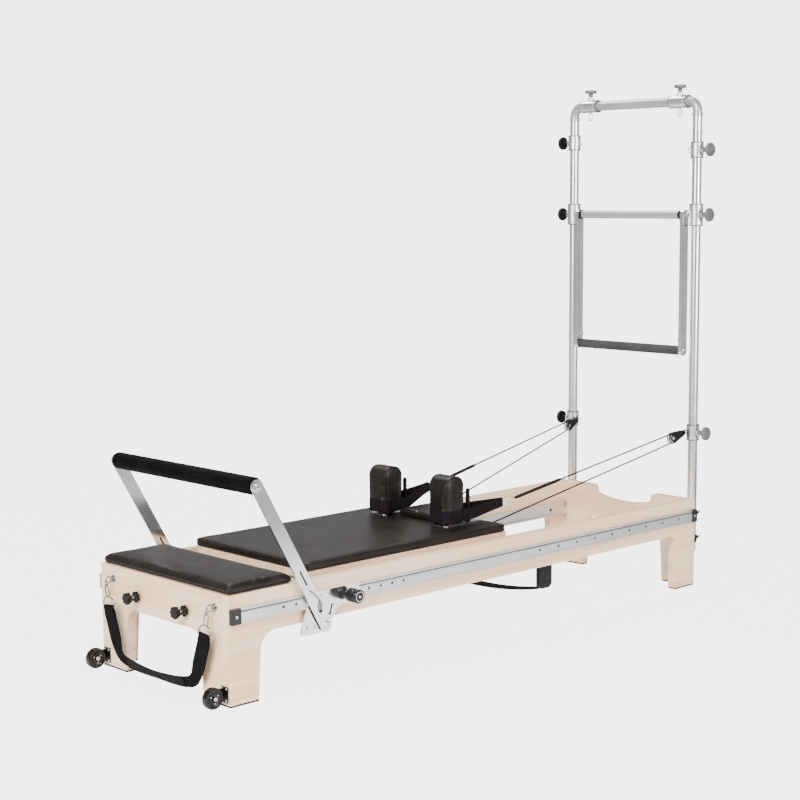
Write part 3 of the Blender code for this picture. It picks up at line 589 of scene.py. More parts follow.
def stuffed(name, body, node, shell, voxel, cap, floor, ceiling=math.inf):
    """A pad that a short cloth simulation rounds out. No point moves further than the cap."""
    obj = new_object(name, "leatherette", [shell])
    remesh = obj.modifiers.new("remesh", "REMESH")
    remesh.mode, remesh.voxel_size, remesh.use_smooth_shade = "VOXEL", voxel, True
    bpy.context.view_layer.update()
    obj.data = bpy.data.meshes.new_from_object(obj.evaluated_get(bpy.context.evaluated_depsgraph_get()))
    obj.data.name = name
    obj.modifiers.clear()
    start = [v.co.copy() for v in obj.data.vertices]
    cloth = obj.modifiers.new("cloth", "CLOTH")
    cloth.settings.use_pressure = True
    cloth.settings.uniform_pressure_force = 4.0
    cloth.settings.effector_weights.gravity = 0
    cloth.settings.quality = 3
    cloth.settings.tension_stiffness = cloth.settings.compression_stiffness = 25
    cloth.settings.bending_stiffness = 1.5
    cloth.point_cache.frame_start, cloth.point_cache.frame_end = 1, CLOTH_FRAMES
    for number in range(1, CLOTH_FRAMES + 1):
        bpy.context.scene.frame_set(number)
    swollen = obj.evaluated_get(bpy.context.evaluated_depsgraph_get())
    reached = [v.co.copy() for v in swollen.data.vertices]
    obj.modifiers.clear()
    bpy.context.scene.frame_set(1)
    for vertex, before, after in zip(obj.data.vertices, start, reached):
        step = after - before
        if step.length > cap:
            step = step * (cap / step.length)
        vertex.co = before + step
    for vertex in obj.data.vertices:
        vertex.co.z = min(max(vertex.co.z, floor), ceiling)
    obj.data.update()
    finer = obj.modifiers.new("finer", "SUBSURF")
    finer.levels = finer.render_levels = 1
    obj.data.shade_smooth()
    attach(obj, body)
    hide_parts(node)
    return obj


def cushion_levels(outline, low, high, edge, crown=0.0, flat=0.0):
    """A slab whose rims are quarter rounds, and whose top may rise in a low crown to a flat middle."""
    quarter = [(math.sin(a), math.cos(a)) for a in shares(4, math.pi / 2)]
    levels = [(low + edge * (1 - c), edge * (1 - s)) for s, c in quarter]
    levels += [(high - edge + edge * s, edge * (1 - c)) for s, c in quarter]
    if crown:
        levels += [(high + crown * math.sin(math.pi / 2 * i / 6), flat * i / 6) for i in range(1, 7)]
    return stack([[lift("z", p, z) for p in inset(outline, by)] for z, by in levels])


def hug(pad, path, radius, closed=True):
    """Piping laid on the pad's own surface, along the nearest points to a path."""
    mesh = pad.data
    skin = BVHTree.FromPolygons([v.co.copy() for v in mesh.vertices],
        [tuple(p.vertices) for p in mesh.polygons])
    laid = []
    for point in path:
        spot, out, _, _ = skin.find_nearest(Vector((shift(point[0]), point[1], point[2])))
        spot = spot + out * radius * 0.4
        laid.append(Vector((spot.x + FOOT, spot.y, spot.z)))
    count = len(laid)
    for _ in range(2):
        laid = [laid[i] if not closed and i in (0, count - 1) else
                (laid[i - 1] + laid[i] * 2 + laid[(i + 1) % count]) / 4 for i in range(count)]
    return tube(laid, radius, closed=closed)


# ---------------------------------------------------------------- frame

LENGTH, WIDTH, HEIGHT, BOARD, SKIRT = 2.4, 0.705, 0.358, 0.036, 0.222
LEG_FOOT, LEG_HEAD = 0.115, 0.122
OUTER_Y, INNER_Y = WIDTH / 2, WIDTH / 2 - BOARD
GAP = 0.0003
RUBBER = 0.006


def side_outline():
    foot_arch, head_arch, lean = 0.062, 0.032, 0.01
    points = [(0, RUBBER), (LEG_FOOT, RUBBER), (LEG_FOOT + lean, SKIRT - foot_arch)]
    points += arc((LEG_FOOT + lean + foot_arch, SKIRT - foot_arch), foot_arch, 180, 90, 14)[1:]
    points += arc((LENGTH - LEG_HEAD - lean / 2 - head_arch, SKIRT - head_arch), head_arch, 90, 0, 10)
    return points + [(LENGTH - LEG_HEAD, RUBBER), (LENGTH, RUBBER), (LENGTH, HEIGHT), (0, HEIGHT)]


def end_outline(top):
    half, leg, arch = INNER_Y - GAP, 0.205, 0.05
    points = [(-half, RUBBER), (-leg - 0.01, RUBBER), (-leg, SKIRT - arch)]
    points += arc((-leg + arch, SKIRT - arch), arch, 180, 90, 12)[1:]
    points += arc((leg - arch, SKIRT - arch), arch, 90, 0, 12)
    return points + [(leg + 0.01, RUBBER), (half, RUBBER)] + top


def dished_top():
    step_y, step_z, dish_z = 0.158, 0.322, 0.304
    half = [(INNER_Y - GAP, HEIGHT), (step_y + 0.006, HEIGHT), (step_y - 0.002, HEIGHT - 0.008)]
    half += [(step_y - 0.006, step_z + 0.008), (step_y - 0.014, step_z)]
    for i in range(1, 13):
        part = i / 12
        half.append(((step_y - 0.014) * (1 - part), dish_z + (step_z - dish_z) * (1 - part) ** 2))
    return half + [(-y, z) for y, z in half[-2::-1]]


def rubber_strip(name, outline_x, outline_y):
    low, high = (outline_x[0], outline_y[0], 0.0), (outline_x[1], outline_y[1], RUBBER)
    return piece(name, "rubber", "frame", [box(low, high)], bevel=0.0008)


STAR = (-0.047, 0.134, 0.277)
ROD_R = 0.005
flat_top = [(INNER_Y - GAP, HEIGHT), (-INNER_Y + GAP, HEIGHT)]
screw_holes = [rod("x", (0, s * STAR[1], STAR[2]), ROD_R + 0.0008, -0.01, BOARD + 0.01, 20)
    for s in (-1, 1)]
foot_board = [prism(end_outline(flat_top), "x", 0, BOARD)]
piece("foot_board", "maple_y", "frame", foot_board, ["foot_end_board"], 0.0012, screw_holes)
head_board = [prism(end_outline(dished_top()), "x", LENGTH - BOARD, LENGTH)]
piece("head_board", "maple_y", "frame", head_board, ["head_end_board"], 0.0012)
for name, side in SIDES.items():
    ys = across(INNER_Y, OUTER_Y, side)
    piece(f"side_panel_{name}", "maple_x", "frame", [prism(side_outline(), "y", *ys)],
        [f"side_board_{name}"], 0.0016)
    rubber_strip(f"foot_rubber_{name}", (0.0005, LEG_FOOT - 0.0005), ys)
    rubber_strip(f"head_rubber_{name}", (LENGTH - LEG_HEAD + 0.0005, LENGTH - 0.0005), ys)
    end_ys = across(0.2155, INNER_Y - 0.0005, side)
    rubber_strip(f"foot_end_rubber_{name}", (0.0005, BOARD - 0.0005), end_ys)
    rubber_strip(f"head_end_rubber_{name}", (LENGTH - BOARD + 0.0005, LENGTH - 0.0005), end_ys)

# Rails
RAIL_Z, RAIL_LOW, RAIL_HIGH = 0.292, 0.268, 0.316
FIRST_HOLE, HOLE_PITCH = 0.209, 0.053
TRACK_TOP = 0.273
hole_places = [FIRST_HOLE + HOLE_PITCH * i for i in range(11)] + [1.436 + 0.1048 * i for i in range(9)]
for name, side in SIDES.items():
    face = OUTER_Y + GAP
    profile = [(0, RAIL_LOW), (0.0134, RAIL_LOW), (0.014, RAIL_LOW + 0.0006), (0.014, 0.2725),
        (0.0128, 0.2735)]
    profile += [(0.0128, 0.2775), (0.014, 0.2785), (0.014, 0.3045), (0.0132, 0.3055), (0.0096, 0.306)]
    profile += [(0.0096, 0.3095), (0.0138, 0.31), (0.014, 0.3106), (0.014, 0.3154), (0.0134, RAIL_HIGH),
        (0, RAIL_HIGH)]
    rail = prism([(side * (face + out), z) for out, z in profile], "x", 0.002, 2.394)
    holes = [pin(x, RAIL_Z, 0.0052, face + 0.002, face + 0.02, side) for x in hole_places]
    piece(f"rail_{name}", "anodised", "frame", [rail], [f"outer_rail_{name}"], cuts=holes, sharp=25)
    # Black plugs at the bottom of the rail's holes: painted shade in the holes.
    hole_shade_plugs = [pin(x, RAIL_Z, 0.0053, face + 0.0015, face + 0.006, side, 20) for x in hole_places]
    piece(f"rail_hole_painted_shade_{name}", "gloss_black", "frame", hole_shade_plugs)
    ys = across(face + 0.0097, face + 0.0134, side)
    # The strip in the rail's groove is painted shade, in the darker copy of the anodised metal.
    piece(f"rail_groove_{name}", "anodised_painted_shade", "frame", [box((0.003, ys[0], 0.3062), (2.393, ys[1], 0.3093))])
    for end, x0, x1 in (("foot", 0.0012, 0.038), ("head", 2.364, 2.3975)):
        ys = across(face + 0.0002, face + 0.015, side)
        cap = box((x0, ys[0], RAIL_LOW - 0.0007), (x1, ys[1], RAIL_HIGH + 0.0007))
        piece(f"rail_cap_{end}_{name}", "anodised" if (end, name) == ("foot", "left") else "cap_grey",
            "frame", [cap], bevel=0.0016)
        head = bolt("y", ((x0 + x1) / 2, side * (face + 0.0147), RAIL_Z), 0.0055, 0.0032, side)
        piece(f"rail_bolt_{end}_{name}", "steel", "frame", [head])
    inner, lip_y, low = INNER_Y - GAP, INNER_Y - 0.02, TRACK_TOP - 0.056
    channel = [(inner, low), (lip_y, low), (lip_y, low + 0.004), (inner - 0.005, low + 0.004)]
    channel += [(inner - 0.005, TRACK_TOP - 0.004), (lip_y, TRACK_TOP - 0.004), (lip_y, TRACK_TOP),
        (inner, TRACK_TOP)]
    track = prism([(side * y, z) for y, z in channel], "x", 0.045, 2.355)
    piece(f"track_{name}", "anodised", "frame", [track], [f"inner_track_{name}"], 0.0006)
    bolts = [bolt("y", (0.215 + 0.41 * i, side * (inner - 0.005), TRACK_TOP - 0.031), 0.0062, 0.0035,
        -side) for i in range(6)]
    piece(f"track_bolts_{name}", "dark_steel", "frame", bolts)

# Spring bar and the sling under the frame
SPRING_BAR_X, SPRING_Z = 0.311, 0.285
bar = rod("y", (SPRING_BAR_X, 0, SPRING_Z), 0.0098, -INNER_Y + 0.0006, INNER_Y - 0.0006, 32)
piece("spring_rail", "steel", "frame", [bar], ["spring_bar"])
sling_low, sling_sag, sling_y = 0.137, 0.1, OUTER_Y - 0.02
sling_x = (1.453 + 1.525) / 2
for name, side in SIDES.items():
    ys = across(OUTER_Y - 0.02, OUTER_Y - 0.0045, side)
    plate = [(1.4535, SKIRT - GAP), (1.4535, 0.15), (1.4665, 0.1372), (1.5115, 0.1372), (1.5245, 0.15),
        (1.5245, SKIRT - GAP)]
    piece(f"sling_bracket_{name}", "black_plastic", "frame", [prism(plate, "y", *ys)], bevel=0.0012)
    heads = [bolt("y", (x, side * (OUTER_Y - 0.0047), z), 0.0055, 0.0032, side) for x,
        z in ((1.472, 0.196), (1.506, 0.196), (1.489, 0.156))]
    piece(f"sling_bolts_{name}", "dark_steel", "frame", heads)
sling_path = []
for i in range(33):
    y = (sling_y - 0.0006) * (i / 16 - 1)
    sling_path.append((sling_x, y, sling_low - 0.0005 + (sling_sag - sling_low) * (1 - (y / sling_y) ** 2)))
piece("sling_strap", "webbing", "frame", [ribbon(sling_path, (0, 0, 1), 0.064, 0.0034)],
    ["under_frame_sling"], sharp=60)


# ---------------------------------------------------------------- foot end

CASTER, CASTER_R = (-0.05, 0.327, 0.038), 0.035
for name, side in SIDES.items():
    x, y, z = CASTER[0], side * CASTER[1], CASTER[2]
    tyre = [(0.0262, -0.0095), (0.027, -0.0116), (0.0315, -0.012), (0.034, -0.01), (CASTER_R, -0.006)]
    tyre += [(r, -a) for r, a in tyre[::-1]]
    tyre += [(0.02, 0.008), (0.019, 0.01), (0.011, 0.0105), (0.0104, 0.0088), (0.0047, 0.0086)]
    tyre += [(0.0047, -0.0086), (0.0104, -0.0088), (0.011, -0.0105), (0.019, -0.01), (0.02, -0.008)]
    wheel = lathe(tyre, "y", (x, y, z), 48, ring=True)
    piece(f"caster_{name}", "gloss_black", f"transport_wheel_{name}", [wheel], [f"transport_wheel_{name}"],
        sharp=28)
    spots = [lathe([(0.0022, -0.0104), (0.0022, -0.0112), (0.001, -0.0118)], "y",
                   (x + 0.015 * math.cos(a), y, z + 0.015 * math.sin(a)), 12) for a in (0.6, 2.7, 4.8)]
    piece(f"caster_rivets_{name}", "steel", f"transport_wheel_{name}", spots)
    ear = [(min(px, -0.0023), pz) for px, pz in rounded((x - 0.013, z - 0.013), (0.0, z + 0.02), 0.008)]
    bracket = [box((-0.004, y - 0.017, 0.016), (-GAP, y + 0.0185, 0.066)),
        prism(ear, "y", y + 0.0135, y + 0.018)]
    piece(f"caster_bracket_{name}", "black_plastic", "frame", bracket, [f"wheel_bracket_{name}"], 0.001)
    axle = [rod("y", (x, y, z), 0.004, -0.015, 0.016, 24),
        rod("y", (x, y, z), 0.0075, -0.0178, -0.0126, 6, 0.001)]
    piece(f"caster_axle_{name}", "steel", "frame", axle)
    screws = [bolt("x", (-0.004, y + d, h), 0.0042, 0.0022, -1) for d in (-0.011, 0.012)
        for h in (0.022, 0.06)]
    piece(f"caster_screws_{name}", "steel", "frame", screws)


def star(radius, depth, lobes=7, per=10):
    points = []
    for i in range(lobes * per):
        a = math.tau * i / (lobes * per)
        r = radius - depth * (0.5 - 0.5 * math.cos(lobes * a)) ** 1.6
        points.append((r * math.cos(a), r * math.sin(a)))
    return points


def star_knob(x, y, z, radius, half):
    """A lobed hand knob about x, with rounded rims."""
    rim = star(radius, 0.0052)
    rings = []
    for along, share in ((-half, 0.84), (-half * 0.88, 0.93), (-half * 0.6, 1.0), (half * 0.6, 1.0),
        (half * 0.88, 0.93), (half, 0.84)):
        rings.append([(x + along, y + u * share, z + v * share) for u, v in rim])
    return stack(rings)


for name, side in SIDES.items():
    x, y, z = STAR[0], side * STAR[1], STAR[2]
    hub = rod("x", (0, y, z), 0.0105, x + 0.005, x + 0.015, 32, 0.001)
    knob = [star_knob(x, y, z, 0.0208, 0.0088), hub]
    piece(f"star_knob_{name}", "black_plastic", f"adjuster_{name}", knob, [f"adjuster_screw_{name}"],
        sharp=50)
    screw = [(ROD_R - 0.0002 - 0.0004 * (i % 2), x + 0.0001 + 0.0011 * i) for i in range(150)]
    piece(f"star_screw_{name}", "steel", f"adjuster_{name}", [lathe(screw, "x", (0, y, z), 16)], sharp=70)
    washer = rod("x", (0, y, z), 0.01, -0.0046, -GAP, 32, 0.0004)
    lock = [star_knob(-0.0125, y, z, 0.0195, 0.0062)]
    piece(f"lock_knob_{name}", "black_plastic", f"adjuster_{name}", lock, sharp=50)
    piece(f"lock_washer_{name}", "steel", "frame", [washer])

# Hooks that hold the carry strap: a screw eye, a snap hook and a D-ring on each side
HANG_X, HANG_Y, HANG_Z = -0.03, 0.281, 0.313


def snap_hook(low, high, thick, out):
    """A wire snap hook between two points in one plane: a long loop with a gate and an eye."""
    low, high, out = Vector(low), Vector(high), Vector(out).normalized()
    along = (high - low).normalized()
    length = (high - low).length
    half = length * 0.17
    loop = []
    for i in range(28):
        a = math.tau * i / 28
        stretch = length * 0.3
        loop.append(low + along * (half + stretch
            + math.copysign(stretch * 0.55, math.cos(a)) * (abs(math.cos(a)) > 1e-6) + half * math.cos(a))
            + out * half * math.sin(a))
    neck = [low + along * (length * 0.7), low + along * (length * 0.86)]
    ring = [low + along * (length * 0.9 + half * 0.62 * math.cos(a)) + out * half * 0.62 * math.sin(a)
            for a in (math.tau * i / 20 for i in range(20))]
    return [tube(loop, thick, 10, closed=True), tube(neck, thick * 1.5, 12),
        tube(ring, thick * 0.9, 10, closed=True)]


for name, side in SIDES.items():
    y = side * HANG_Y
    plate = [rod("x", (0, y, HANG_Z), 0.013, -0.0022, -GAP, 36, 0.0006),
        rod("x", (0, y, HANG_Z), 0.0045, -0.012, -0.002, 20, 0.0005)]
    ring = [Vector((-0.02 + 0.0105 * math.cos(a), y, HANG_Z + 0.0105 * math.sin(a)))
        for a in shares(28)[:-1]]
    piece(f"screw_eye_{name}", "wire", "frame", [*plate, tube(ring, 0.0026, 12, closed=True)])
    hook = snap_hook((HANG_X, y - side * 0.012, 0.249), (HANG_X, y, 0.3085), 0.0024, (0, 1, 0))
    piece(f"snap_hook_{name}", "wire", "carry_strap", hook)
    loop_y, loop_z = side * 0.267, 0.227
    dee = [(HANG_X, loop_y - 0.032, loop_z), (HANG_X, loop_y + 0.032, loop_z)]
    dee += [(HANG_X, loop_y + 0.032 * math.cos(a), loop_z + 0.004 + 0.027 * math.sin(a))
        for a in shares(14, math.pi)]
    piece(f"dee_ring_{name}", "wire", "carry_strap", [tube(dee, 0.0025, 10, closed=True)])

STRAP = [(0.2665, 0.228), (0.256, 0.19), (0.24, 0.145), (0.223, 0.1), (0.206, 0.071), (0.175, 0.056),
    (0.105, 0.047), (0, 0.044)]
STRAP = STRAP + [(-y, z) for y, z in STRAP[-2::-1]]
hang = smooth_path([(HANG_X, y, z) for y, z in STRAP], 6)
faces_out = [Vector((1, 0, 0.9 * max(0.0, 1 - abs(p.y) / 0.24))) for p in hang]
wide = []
for spot in hang:
    spread = min(1.0, max(0.0, (spot.z - 0.06) / 0.06))
    wide.append(0.04 + 0.024 * spread - 0.01 * max(0.0, (spot.z - 0.205) / 0.023))
piece("carry_band", "webbing", "carry_strap", [ribbon(hang, faces_out, 0.043, 0.0028, wide)],
    ["carry_strap"], sharp=60)
CARRY_GRIP_Y = 0.165
grip_run = [p for p in hang if abs(p.y) < CARRY_GRIP_Y]
grip_faces = [n for p, n in zip(hang, faces_out) if abs(p.y) < CARRY_GRIP_Y]
pad = ribbon([p - Vector((0.0018, 0, 0)) for p in grip_run], grip_faces, 0.042, 0.0095)
piece("carry_grip", "grey_webbing", "carry_strap", [pad], sharp=60)
for name, side in SIDES.items():
    fold = [(HANG_X, side * 0.2672, 0.231), (HANG_X - 0.0045, side * 0.2668, 0.227),
        (HANG_X - 0.0045, side * 0.2625, 0.206), (HANG_X - 0.004, side * 0.257, 0.188)]
    piece(f"carry_fold_{name}", "webbing", "carry_strap", [ribbon(fold, (1, 0, 0), 0.052, 0.0026)],
        sharp=60)


# ---------------------------------------------------------------- pads

PLATFORM, PLATFORM_TOP, PAD_TOP = (-0.003, 0.27), 0.39, 0.4
PAD_Y = 0.31


def rim(low, high, radius, z, steps=8):
    """The points round a pad at one height, about 12 mm apart along its sides."""
    corners = rounded(low, high, radius, steps)
    points = []
    for i, (x, y) in enumerate(corners):
        after = corners[(i + 1) % len(corners)]
        parts = max(1, round(math.dist((x, y), after) / 0.012))
        points += [(x + (after[0] - x) * k / parts, y + (after[1] - y) * k / parts, z)
            for k in range(parts)]
    return points


edge = OUTER_Y + 0.001
shell = cushion_levels(rounded((PLATFORM[0] + 0.003, -edge + 0.003), (PLATFORM[1] - 0.003, edge - 0.003),
    0.007), HEIGHT + GAP, PLATFORM_TOP - 0.0075, 0.009, crown=0.0075, flat=0.085)
pad = stuffed("platform_cushion", "frame", "platform_pad", shell, 0.006, 0.006, floor=HEIGHT + GAP,
    ceiling=PLATFORM_TOP + 0.006)
welt = rim((PLATFORM[0] + 0.001, -edge + 0.001), (PLATFORM[1] - 0.001, edge - 0.001), 0.008,
    HEIGHT + 0.0045)
piece("platform_seam", "leatherette", "frame", [hug(pad, welt, 0.0013)], sharp=60)
CARRIAGE = (0.355, 1.325)
shell = cushion_levels(rounded((CARRIAGE[0] + 0.0025, -PAD_Y + 0.0025),
    (CARRIAGE[1] - 0.0025, PAD_Y - 0.0025), 0.016), PAD_TOP - 0.0303, PAD_TOP - 0.002, 0.006)
pad = stuffed("carriage_cushion", "carriage", "carriage_pad", shell, 0.0065, 0.0035, floor=PAD_TOP - 0.0303,
    ceiling=PAD_TOP + 0.001)
for name, drop in (("piping", 0.0055), ("base_piping", 0.0255)):
    welt = rim((CARRIAGE[0], -PAD_Y), (CARRIAGE[1], PAD_Y), 0.016, PAD_TOP - drop)
    piece(f"carriage_{name}", "leatherette", "carriage", [hug(pad, welt, 0.0017)], sharp=60)

# Headrest
HEADREST_X, HEADREST_Z = (1.147, 1.318), (PAD_TOP + 0.0008, 0.428)
shell = cushion_levels(rounded((HEADREST_X[0] + 0.002, -0.092), (HEADREST_X[1] - 0.002, 0.092), 0.014),
    HEADREST_Z[0], HEADREST_Z[1] - 0.0015, 0.006)
pad = stuffed("headrest_cushion", "headrest", "headrest", shell, 0.004, 0.004, floor=HEADREST_Z[0],
    ceiling=HEADREST_Z[1] + 0.002)
welt = rim((HEADREST_X[0], -0.094), (HEADREST_X[1], 0.094), 0.014, HEADREST_Z[1] - 0.006)
piece("headrest_piping", "leatherette", "headrest", [hug(pad, welt, 0.0016)], sharp=60)

# Carriage board
AXLES, AXLE_Z = (0.475, 1.205), 0.3033
ANCHOR_X = 0.745
deck = [box((CARRIAGE[0] + 0.012, -0.298, 0.345), (CARRIAGE[1], 0.298, PAD_TOP - 0.0308))]
piece("carriage_deck", "maple_x", "carriage", deck, ["carriage_board"], 0.0012)
for k, x in enumerate(AXLES):
    for name, side in SIDES.items():
        ys = across(0.262, 0.278, side)
        hanger = prism(rounded((x - 0.018, 0.286), (x + 0.018, 0.3445), 0.008), "y", *ys)
        piece(f"hanger_{k}_{name}", "dark_steel", "carriage", [hanger], bevel=0.0008)
    tread = [(0.0062, 0.299), (0.026, 0.299), (0.0282, 0.3), (0.0296, 0.302), (0.03, 0.304), (0.03, 0.31)]
    tread += [(0.0292, 0.3125), (0.027, 0.3135), (0.018, 0.3135), (0.017, 0.3115), (0.009, 0.3115),
        (0.0085, 0.3135), (0.0001, 0.3135)]
    body = "wheelset_front" if k == 0 else "wheelset_rear"
    for name, side in SIDES.items():
        turned = lathe([(0.0001, side * 0.299)] + [(r, side * a) for r, a in tread], "y", (x, 0, AXLE_Z),
            40)
        piece(f"roller_{k}_{name}", "light_plastic", body, [turned], [body] if side < 0 else ())
    piece(f"axle_{k}", "steel", body, [rod("y", (x, 0, AXLE_Z), 0.006, -0.299, 0.299, 24)])
bracket = [box((ANCHOR_X + 0.0006, -0.1, 0.272), (ANCHOR_X + 0.006, 0.1, 0.3445)),
    box((ANCHOR_X + 0.0006, -0.1, 0.34), (ANCHOR_X + 0.04, 0.1, 0.3446))]
piece("spring_anchor", "dark_steel", "carriage", bracket, bevel=0.0006)


def coil(y, first, last, radius, wire, turns, per=14):
    """A coil spring along x whose ends straighten into hooks."""
    points = [(first - 0.01, y, SPRING_Z), (first + 0.004, y, SPRING_Z), (first + 0.012, y, SPRING_Z)]
    for i in range(turns * per + 1):
        a = math.tau * i / per
        grow = min(1.0, i / per, (turns * per - i) / per)
        x = first + 0.016 + (last - first - 0.032) * i / (turns * per)
        points.append((x, y + radius * grow * math.sin(a), SPRING_Z + radius * grow * math.cos(a)))
    points += [(last - 0.012, y, SPRING_Z), (last - 0.004, y, SPRING_Z), (last, y, SPRING_Z)]
    return tube(points, wire, 6)


SPRINGS_Y = (-0.066, -0.022, 0.022, 0.066)
COIL_R, COIL_WIRE, COIL_TURNS = 0.0072, 0.0012, 90
for k, y in enumerate(SPRINGS_Y):
    shell = coil(y, SPRING_BAR_X + 0.021, ANCHOR_X, COIL_R, COIL_WIRE, COIL_TURNS)
    spring = piece(f"spring_{k}", "steel", None, [shell], ["spring_pack"] if k == 0 else (), sharp=60)
    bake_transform(spring)


# ---------------------------------------------------------------- shoulder rests

REST_X, REST_Y, REST_HALF = (1.104, 1.2), 0.163, 0.048
PEG = (1.258, 0.168)
STRAP_END = {"right": (1.44, 0.17, 0.447), "left": (1.372, 0.15, 0.477)}
REST_LOW, REST_TOP, STRAP_Z = 0.41, 0.585, 0.435
BAND_WIDE, BAND_TAPER = 0.047, 0.011


def arch_outline(grow=0.0):
    """The rest seen from the side: straight up, then round over the top, in (x, z)."""
    low, high = REST_X[0] - grow, REST_X[1] + grow
    crown = 0.042
    points = [(low, REST_LOW), (high, REST_LOW)]
    points += arc((high - crown, REST_TOP - crown + grow), crown, 0, 90, 10)
    points += arc((low + crown, REST_TOP - crown + grow), crown, 90, 180, 10)
    return points


for name, side in SIDES.items():
    y = side * REST_Y
    plate = prism(rounded((REST_X[0] + 0.004, y - 0.04), (1.292, y + 0.04), 0.012), "z",
        PAD_TOP + GAP + 0.0008, PAD_TOP + 0.0035)
    slots = [prism(rounded((1.254, y - 0.0045), (1.278, y + 0.0045), 0.0044), "z", 0.39, 0.41)]
    piece(f"rest_plate_{name}", "chrome_plate", "carriage", [plate], [f"shoulder_rest_{name}"], 0.0005,
        slots)
    stem = rod("z", (REST_X[0] + 0.05, y, 0), 0.03, PAD_TOP + 0.0036, REST_LOW + 0.001, 32)
    piece(f"rest_foot_{name}", "black_plastic", "carriage", [stem])
    peg_y = side * PEG[1]
    peg = lathe([(0.011, 0.4036), (0.011, 0.408), (0.0078, 0.41), (0.0078, 0.516), (0.0066, 0.5205),
        (0.004, 0.522)], "z", (PEG[0], peg_y, 0), 32)
    piece(f"rest_peg_{name}", "black_plastic", "carriage", [peg])
    rings = []
    for share, by in ((-1.0, 0.01), (-0.96, 0.0045), (-0.88, 0.0015), (-0.75, 0.0005), (0.75, 0.0005),
        (0.88, 0.0015), (0.96, 0.0045), (1.0, 0.01)):
        rings.append([lift("y", p, y + share * (REST_HALF - 0.001))
            for p in inset(arch_outline(-0.0015), by)])
    rest = stuffed(f"shoulder_pad_{name}", "carriage", f"shoulder_rest_{name}", stack(rings), 0.0042,
        0.0032, floor=REST_LOW)
    seams = []
    for face in (-1, 1):
        line = [(REST_X[1], 0.44)] + arch_outline()[2:] + [(REST_X[0], 0.44)]
        line = smooth_path([(px, y + face * (REST_HALF - 0.0022), pz) for px, pz in line], 3)
        seams.append(hug(rest, line, 0.0017, closed=False))
    piece(f"shoulder_piping_{name}", "leatherette", "carriage", seams, sharp=60)


def loop_path(name, side):
    """The shoulder strap: from its D-ring along the rest's outer face, round it, and back."""
    grow = 0.0024
    half = REST_HALF + grow
    ring = rounded((REST_X[0] - grow, REST_Y - half), (REST_X[1] + grow, REST_Y + half), 0.024 + grow, 6)
    corner = len(ring) // 4
    tip_x, tip_y, tip_z = STRAP_END[name]
    reach, rise = tip_x - REST_X[1], tip_z - STRAP_Z
    outer, inner = REST_Y + half + 0.0005, REST_Y - half - 0.0005
    points = [(tip_x, tip_y + 0.002, tip_z),
        (REST_X[1] + 0.78 * reach, tip_y + 0.011, STRAP_Z + 0.78 * rise)]
    points += [(REST_X[1] + 0.55 * reach, tip_y + 0.022, STRAP_Z + 0.55 * rise)]
    points += [(REST_X[1] + 0.25 * reach, (tip_y + 0.022 + outer - 0.002) / 2 + 0.004,
        STRAP_Z + 0.22 * rise)]
    points += [(REST_X[1] + 0.01, outer - 0.0035, STRAP_Z + 0.04 * rise)]
    points += [(x, y, STRAP_Z) for x, y in ring[corner // 2: corner * 3 + 1]]
    points += [(REST_X[1] - 0.02, inner, STRAP_Z),
        (REST_X[1] + 0.02, inner + 0.0015, STRAP_Z + 0.08 * rise)]
    points += [(REST_X[1] + 0.55 * reach, inner + 0.5 * (tip_y - inner), STRAP_Z + 0.55 * rise)]
    points += [(REST_X[1] + 0.8 * reach, inner + 0.8 * (tip_y - inner), STRAP_Z + 0.8 * rise)]
    points += [(tip_x, tip_y - 0.002, tip_z)]
    return [(x, side * y, z) for x, y, z in points]


for name, side in SIDES.items():
    path = smooth_path(loop_path(name, side), 3)
    outs = []
    for i, point in enumerate(path):
        ahead, behind = path[min(i + 1, len(path) - 1)], path[max(i - 1, 0)]
        tangent = (ahead - behind).normalized()
        outs.append(tangent.cross(Vector((0, 0, 1))))
    tip_x = STRAP_END[name][0]
    widths = [BAND_WIDE - BAND_TAPER * max(0.0, (p.x - REST_X[1]) / (tip_x - REST_X[1])) for p in path]
    piece(f"strap_loop_{name}", "band", "carriage", [ribbon(path, outs, BAND_WIDE, 0.0026, widths)],
        [f"shoulder_strap_{name}"], sharp=60)


# ---------------------------------------------------------------- footbar

PIVOT, ROLL_AT = (0.375, 0.207), (0.095, 0.698)
PLATE_Y = OUTER_Y + 0.014 + 3 * GAP
PLATE, ARM, BUSH = 0.005, 0.006, 0.007
ARM_Y = PLATE_Y + PLATE + BUSH
PLUNGER_X = FIRST_HOLE + 5 * HOLE_PITCH


def slider_outline():
    x, z = PIVOT
    points = arc((x - 0.088, z - 0.012), 0.012, 180, 270, 6)
    points += [(x - 0.01, z - 0.027)] + arc((x, z), 0.027, 285, 370, 8)
    points += arc((x + 0.092, z + 0.001), 0.054, 165, 97, 10)
    return points + [(0.527, 0.2625), (0.53, 0.2655), (0.53, 0.317), (0.527, 0.32), (0.341, 0.32),
        (0.3365, 0.3175), (0.303, 0.275)]


def along(a, b, distance):
    a, b = Vector(a), Vector(b)
    return a + (b - a).normalized() * distance


def slot_outline(a, b, half, steps=8):
    """A slot with round ends, between two points of a plane."""
    turned = math.degrees(math.atan2(b[1] - a[1], b[0] - a[0]))
    return arc(b, half, turned - 90, turned + 90, steps) + arc(a, half, turned + 90, turned + 270, steps)


PLATE_HOLES = ((PLUNGER_X, RAIL_Z, 0.0047), (0.36, 0.306, 0.0034), (0.505, 0.292, 0.0034))
PLATE_SLOTS = (
    ((0.4015, 0.2385), (0.4085, 0.266), 0.0034),
    ((0.3995, 0.24), (0.394, 0.235), 0.003),
    ((0.4085, 0.266), (0.415, 0.268), 0.003),
    ((0.3, 0.201), (0.304, 0.213), 0.002),
    ((0.332, 0.199), (0.336, 0.211), 0.002),
)
PLATE_FACE, ARM_FACE = PLATE_Y + PLATE, ARM_Y + ARM


